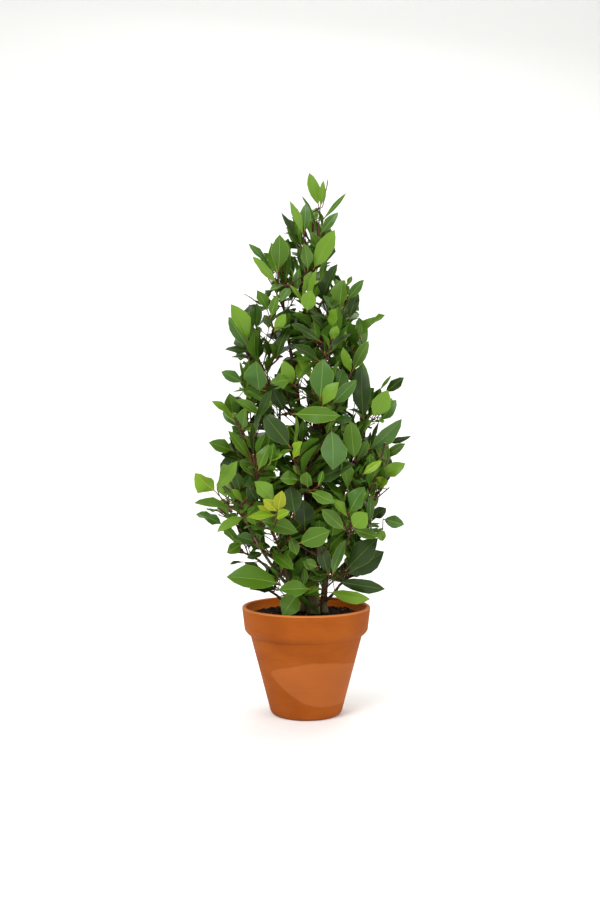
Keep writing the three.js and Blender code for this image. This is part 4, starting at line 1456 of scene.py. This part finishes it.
def soilPlug():
    deselectAll()
    bpy.ops.mesh.primitive_uv_sphere_add(segments=soilLook["segments"], ring_count=soilLook["rings"], radius=1)
    piece = namedPiece("soilBed")
    bottom = pot["floor"] + soilLook["fit"]
    rim = innerRadius(ground) - soilLook["fit"]
    edge, wall, drop = soilLook["edgeShare"], soilLook["wallShare"], soilLook["edgeDrop"]
    for corner in piece.data.vertices:
        across = Vector((corner.co.x, corner.co.y))
        outward = across.normalized() if across.length > 1e-6 else Vector((0, 0))
        # 0 at the middle of the top, 1 at its edge, 2 at the middle of the bottom
        down = math.acos(max(-1, min(1, corner.co.z))) / math.pi * 2
        if down <= 1:
            radius, height = rim * down, ground - drop * max(0, down - edge) / (1 - edge)
        else:
            height = max(bottom, lerp(ground - drop, bottom, (down - 1) / (wall - 1)))
            radius = (innerRadius(height) - soilLook["fit"]) * (1 if down < wall else (2 - down) / (2 - wall))
        place = outward * radius
        corner.co = (place.x * mm, place.y * mm, height * mm)
    group = piece.vertex_groups.new(name="top")
    group.add([v.index for v in piece.data.vertices if v.co.z > (ground - 3) * mm], 1.0, "REPLACE")
    grain = bpy.data.textures.new("soilRelief", "CLOUDS")
    grain.noise_scale = 0.007
    grain.noise_depth = 3
    applyModifier(piece, "DISPLACE", texture=grain, strength=soilLook["relief"], mid_level=0.6, direction="Z",
                  vertex_group="top")
    cleanMesh(piece)
    bpy.ops.object.shade_smooth()
    return piece


def soilMaterial():
    made = plainMaterial("compostBed", "1d140e", 0.95, 0.05)
    stops = [(0.35, "0a0705"), (0.52, "1b120c"), (0.68, "3c2a20")]
    feedShader(made, "Base Color", addRamp(made, addNoise(made, 320, (1, 1, 1), 8.0), stops))
    addBump(made, addNoise(made, 420, (1, 1, 1), 6.0), 0.0015)
    return made


def soilCrumbs():
    deselectAll()
    bpy.ops.mesh.primitive_ico_sphere_add(subdivisions=1, radius=1)
    one = namedPiece("crumb")
    corners = np.array([v.co for v in one.data.vertices])
    faces = np.array([list(f.vertices) for f in one.data.polygons])
    bpy.data.objects.remove(one)
    points, polygons, finish = [], [], []
    rim = innerRadius(ground) - soilLook["crumbEdge"]
    for k in range(soilLook["crumbs"]):
        reach, turn = rim * math.sqrt(draw()), between(0, 2 * math.pi)
        size = between(*soilLook["crumbSize"])
        height = ground - soilLook["crumbSink"] + between(*soilLook["crumbLift"])
        middle = np.array([reach * math.cos(turn), reach * math.sin(turn), height])
        stretch = np.array([between(*span) for span in soilLook["crumbShape"]]) * size
        swing = np.array(Matrix.Rotation(between(0, math.pi), 3, "Z"))
        polygons.append(faces + k * len(corners))
        points.append((corners * stretch) @ swing.T + middle)
        finish += [0 if draw() < soilLook["brown"] else 1 if draw() < soilLook["pale"] else 2] * len(faces)
    mesh = bpy.data.meshes.new("soilCrumbs")
    mesh.from_pydata(np.concatenate(points) * mm, [], np.concatenate(polygons).tolist())
    mesh.polygons.foreach_set("material_index", finish)
    for name, base in (("darkCrumb", "1a0f08"), ("brownCrumb", "3f2c1d"), ("paleCrumb", "8a7558")):
        mesh.materials.append(plainMaterial(name, base, 0.95, 0.05))
    piece = addPiece("soilCrumbs", mesh)
    bpy.ops.object.shade_smooth()
    return piece


reseed(soilLook["seed"])
soilPiece = soilPlug()
soilPiece.data.materials.append(soilMaterial())
crumbPiece = soilCrumbs()
print("compost:", len(soilPiece.data.polygons), "faces")

# pieces and what they stand for
oldLeaves, newLeaves = (["leaves_" + shoot["name"] for shoot in shoots if shoot["young"] == isYoung]
                        for isYoung in (False, True))
pruned = ["leaves_" + prunedLook["shoot"]]
pieceRows = [
    (potPiece, "terracotta", ["pot"]),
    (soilPiece, "compost", ["soil"]),
    (crumbPiece, "compost", ["soil"]),
    (stemPiece, "bark", ["stem_" + stem["name"] for stem in grownStems]),
    (boughPiece, "bark", ["bough_" + bough["name"] for bough in boughs]),
    (twigPiece, "bark", oldLeaves + newLeaves),
    (prunedPiece, "bark", pruned),
    (cutPiece, "bark", pruned),
    (greenLeaves, "foliage", oldLeaves),
    (youngLeaves, "young_foliage", newLeaves),
]
for piece, slot, nodes in pieceRows:
    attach(piece, "root")
    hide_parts(*nodes)

# floor, light and camera
studio = {"floorWidth": 9, "front": -4, "back": 2.2, "wall": 5, "bend": 1.4, "sky": 0.5}


def selectEdges(piece, isWanted):
    bpy.ops.object.mode_set(mode="OBJECT")
    for edge in piece.data.edges:
        edge.select = all(isWanted(piece.data.vertices[v].co) for v in edge.vertices)
    bpy.ops.object.mode_set(mode="EDIT")


def backdrop():
    deselectAll()
    depth = studio["back"] - studio["front"]
    bpy.ops.mesh.primitive_plane_add(size=1, location=(0, studio["front"] + depth / 2, 0))
    piece = namedPiece("backdrop")
    piece.scale = (studio["floorWidth"], depth, 1)
    bpy.ops.object.transform_apply(location=True, scale=True)
    bpy.ops.object.mode_set(mode="EDIT")
    bpy.ops.mesh.select_mode(type="EDGE")
    bpy.ops.mesh.select_all(action="DESELECT")
    selectEdges(piece, lambda corner: corner.y > studio["back"] - 0.01)
    bpy.ops.mesh.extrude_region_move(TRANSFORM_OT_translate={"value": (0, 0, studio["wall"])})
    selectEdges(piece, lambda corner: corner.y > studio["back"] - 0.01 and corner.z < 0.01)
    bpy.ops.mesh.bevel(offset=studio["bend"], segments=16, affect="EDGES")
    bpy.ops.object.mode_set(mode="OBJECT")
    bpy.ops.object.shade_smooth()
    piece.data.materials.append(plainMaterial("paleFloor", "f4f4f2", 0.8, 0.2))
    return piece


def softLight(name, place, aim, size, power):
    bpy.ops.object.light_add(type="AREA", location=place)
    lamp = bpy.context.object
    lamp.name = name
    lamp.data.size = size
    lamp.data.energy = power
    lamp.rotation_euler = (Vector(aim) - Vector(place)).to_track_quat("-Z", "Y").to_euler()


backdrop()
softLight("keyLight", (-1.2, -1.9, 2.2), (0, 0, 0.45), 1.4, 68)
softLight("fillLight", (1.9, -1.5, 1.2), (0, 0, 0.4), 1.8, 26)
softLight("topLight", (0.2, 0.6, 2.6), (0, 0, 0.5), 1.6, 38)
world = bpy.data.worlds.new("studioSky")
bpy.context.scene.world = world
world.use_nodes = True
sky = world.node_tree.nodes["Background"]
sky.inputs["Color"].default_value = (1, 1, 1, 1)
sky.inputs["Strength"].default_value = studio["sky"]
bpy.ops.object.camera_add(location=Vector(photoView["eye"]) * mm, rotation=(math.pi / 2, 0, 0))
camera = bpy.context.object
camera.data.lens = photoView["lens"]
camera.data.sensor_width = photoView["sensor"]
bpy.context.scene.camera = camera
bpy.context.scene.view_settings.view_transform = "Standard"
print("studio ready")
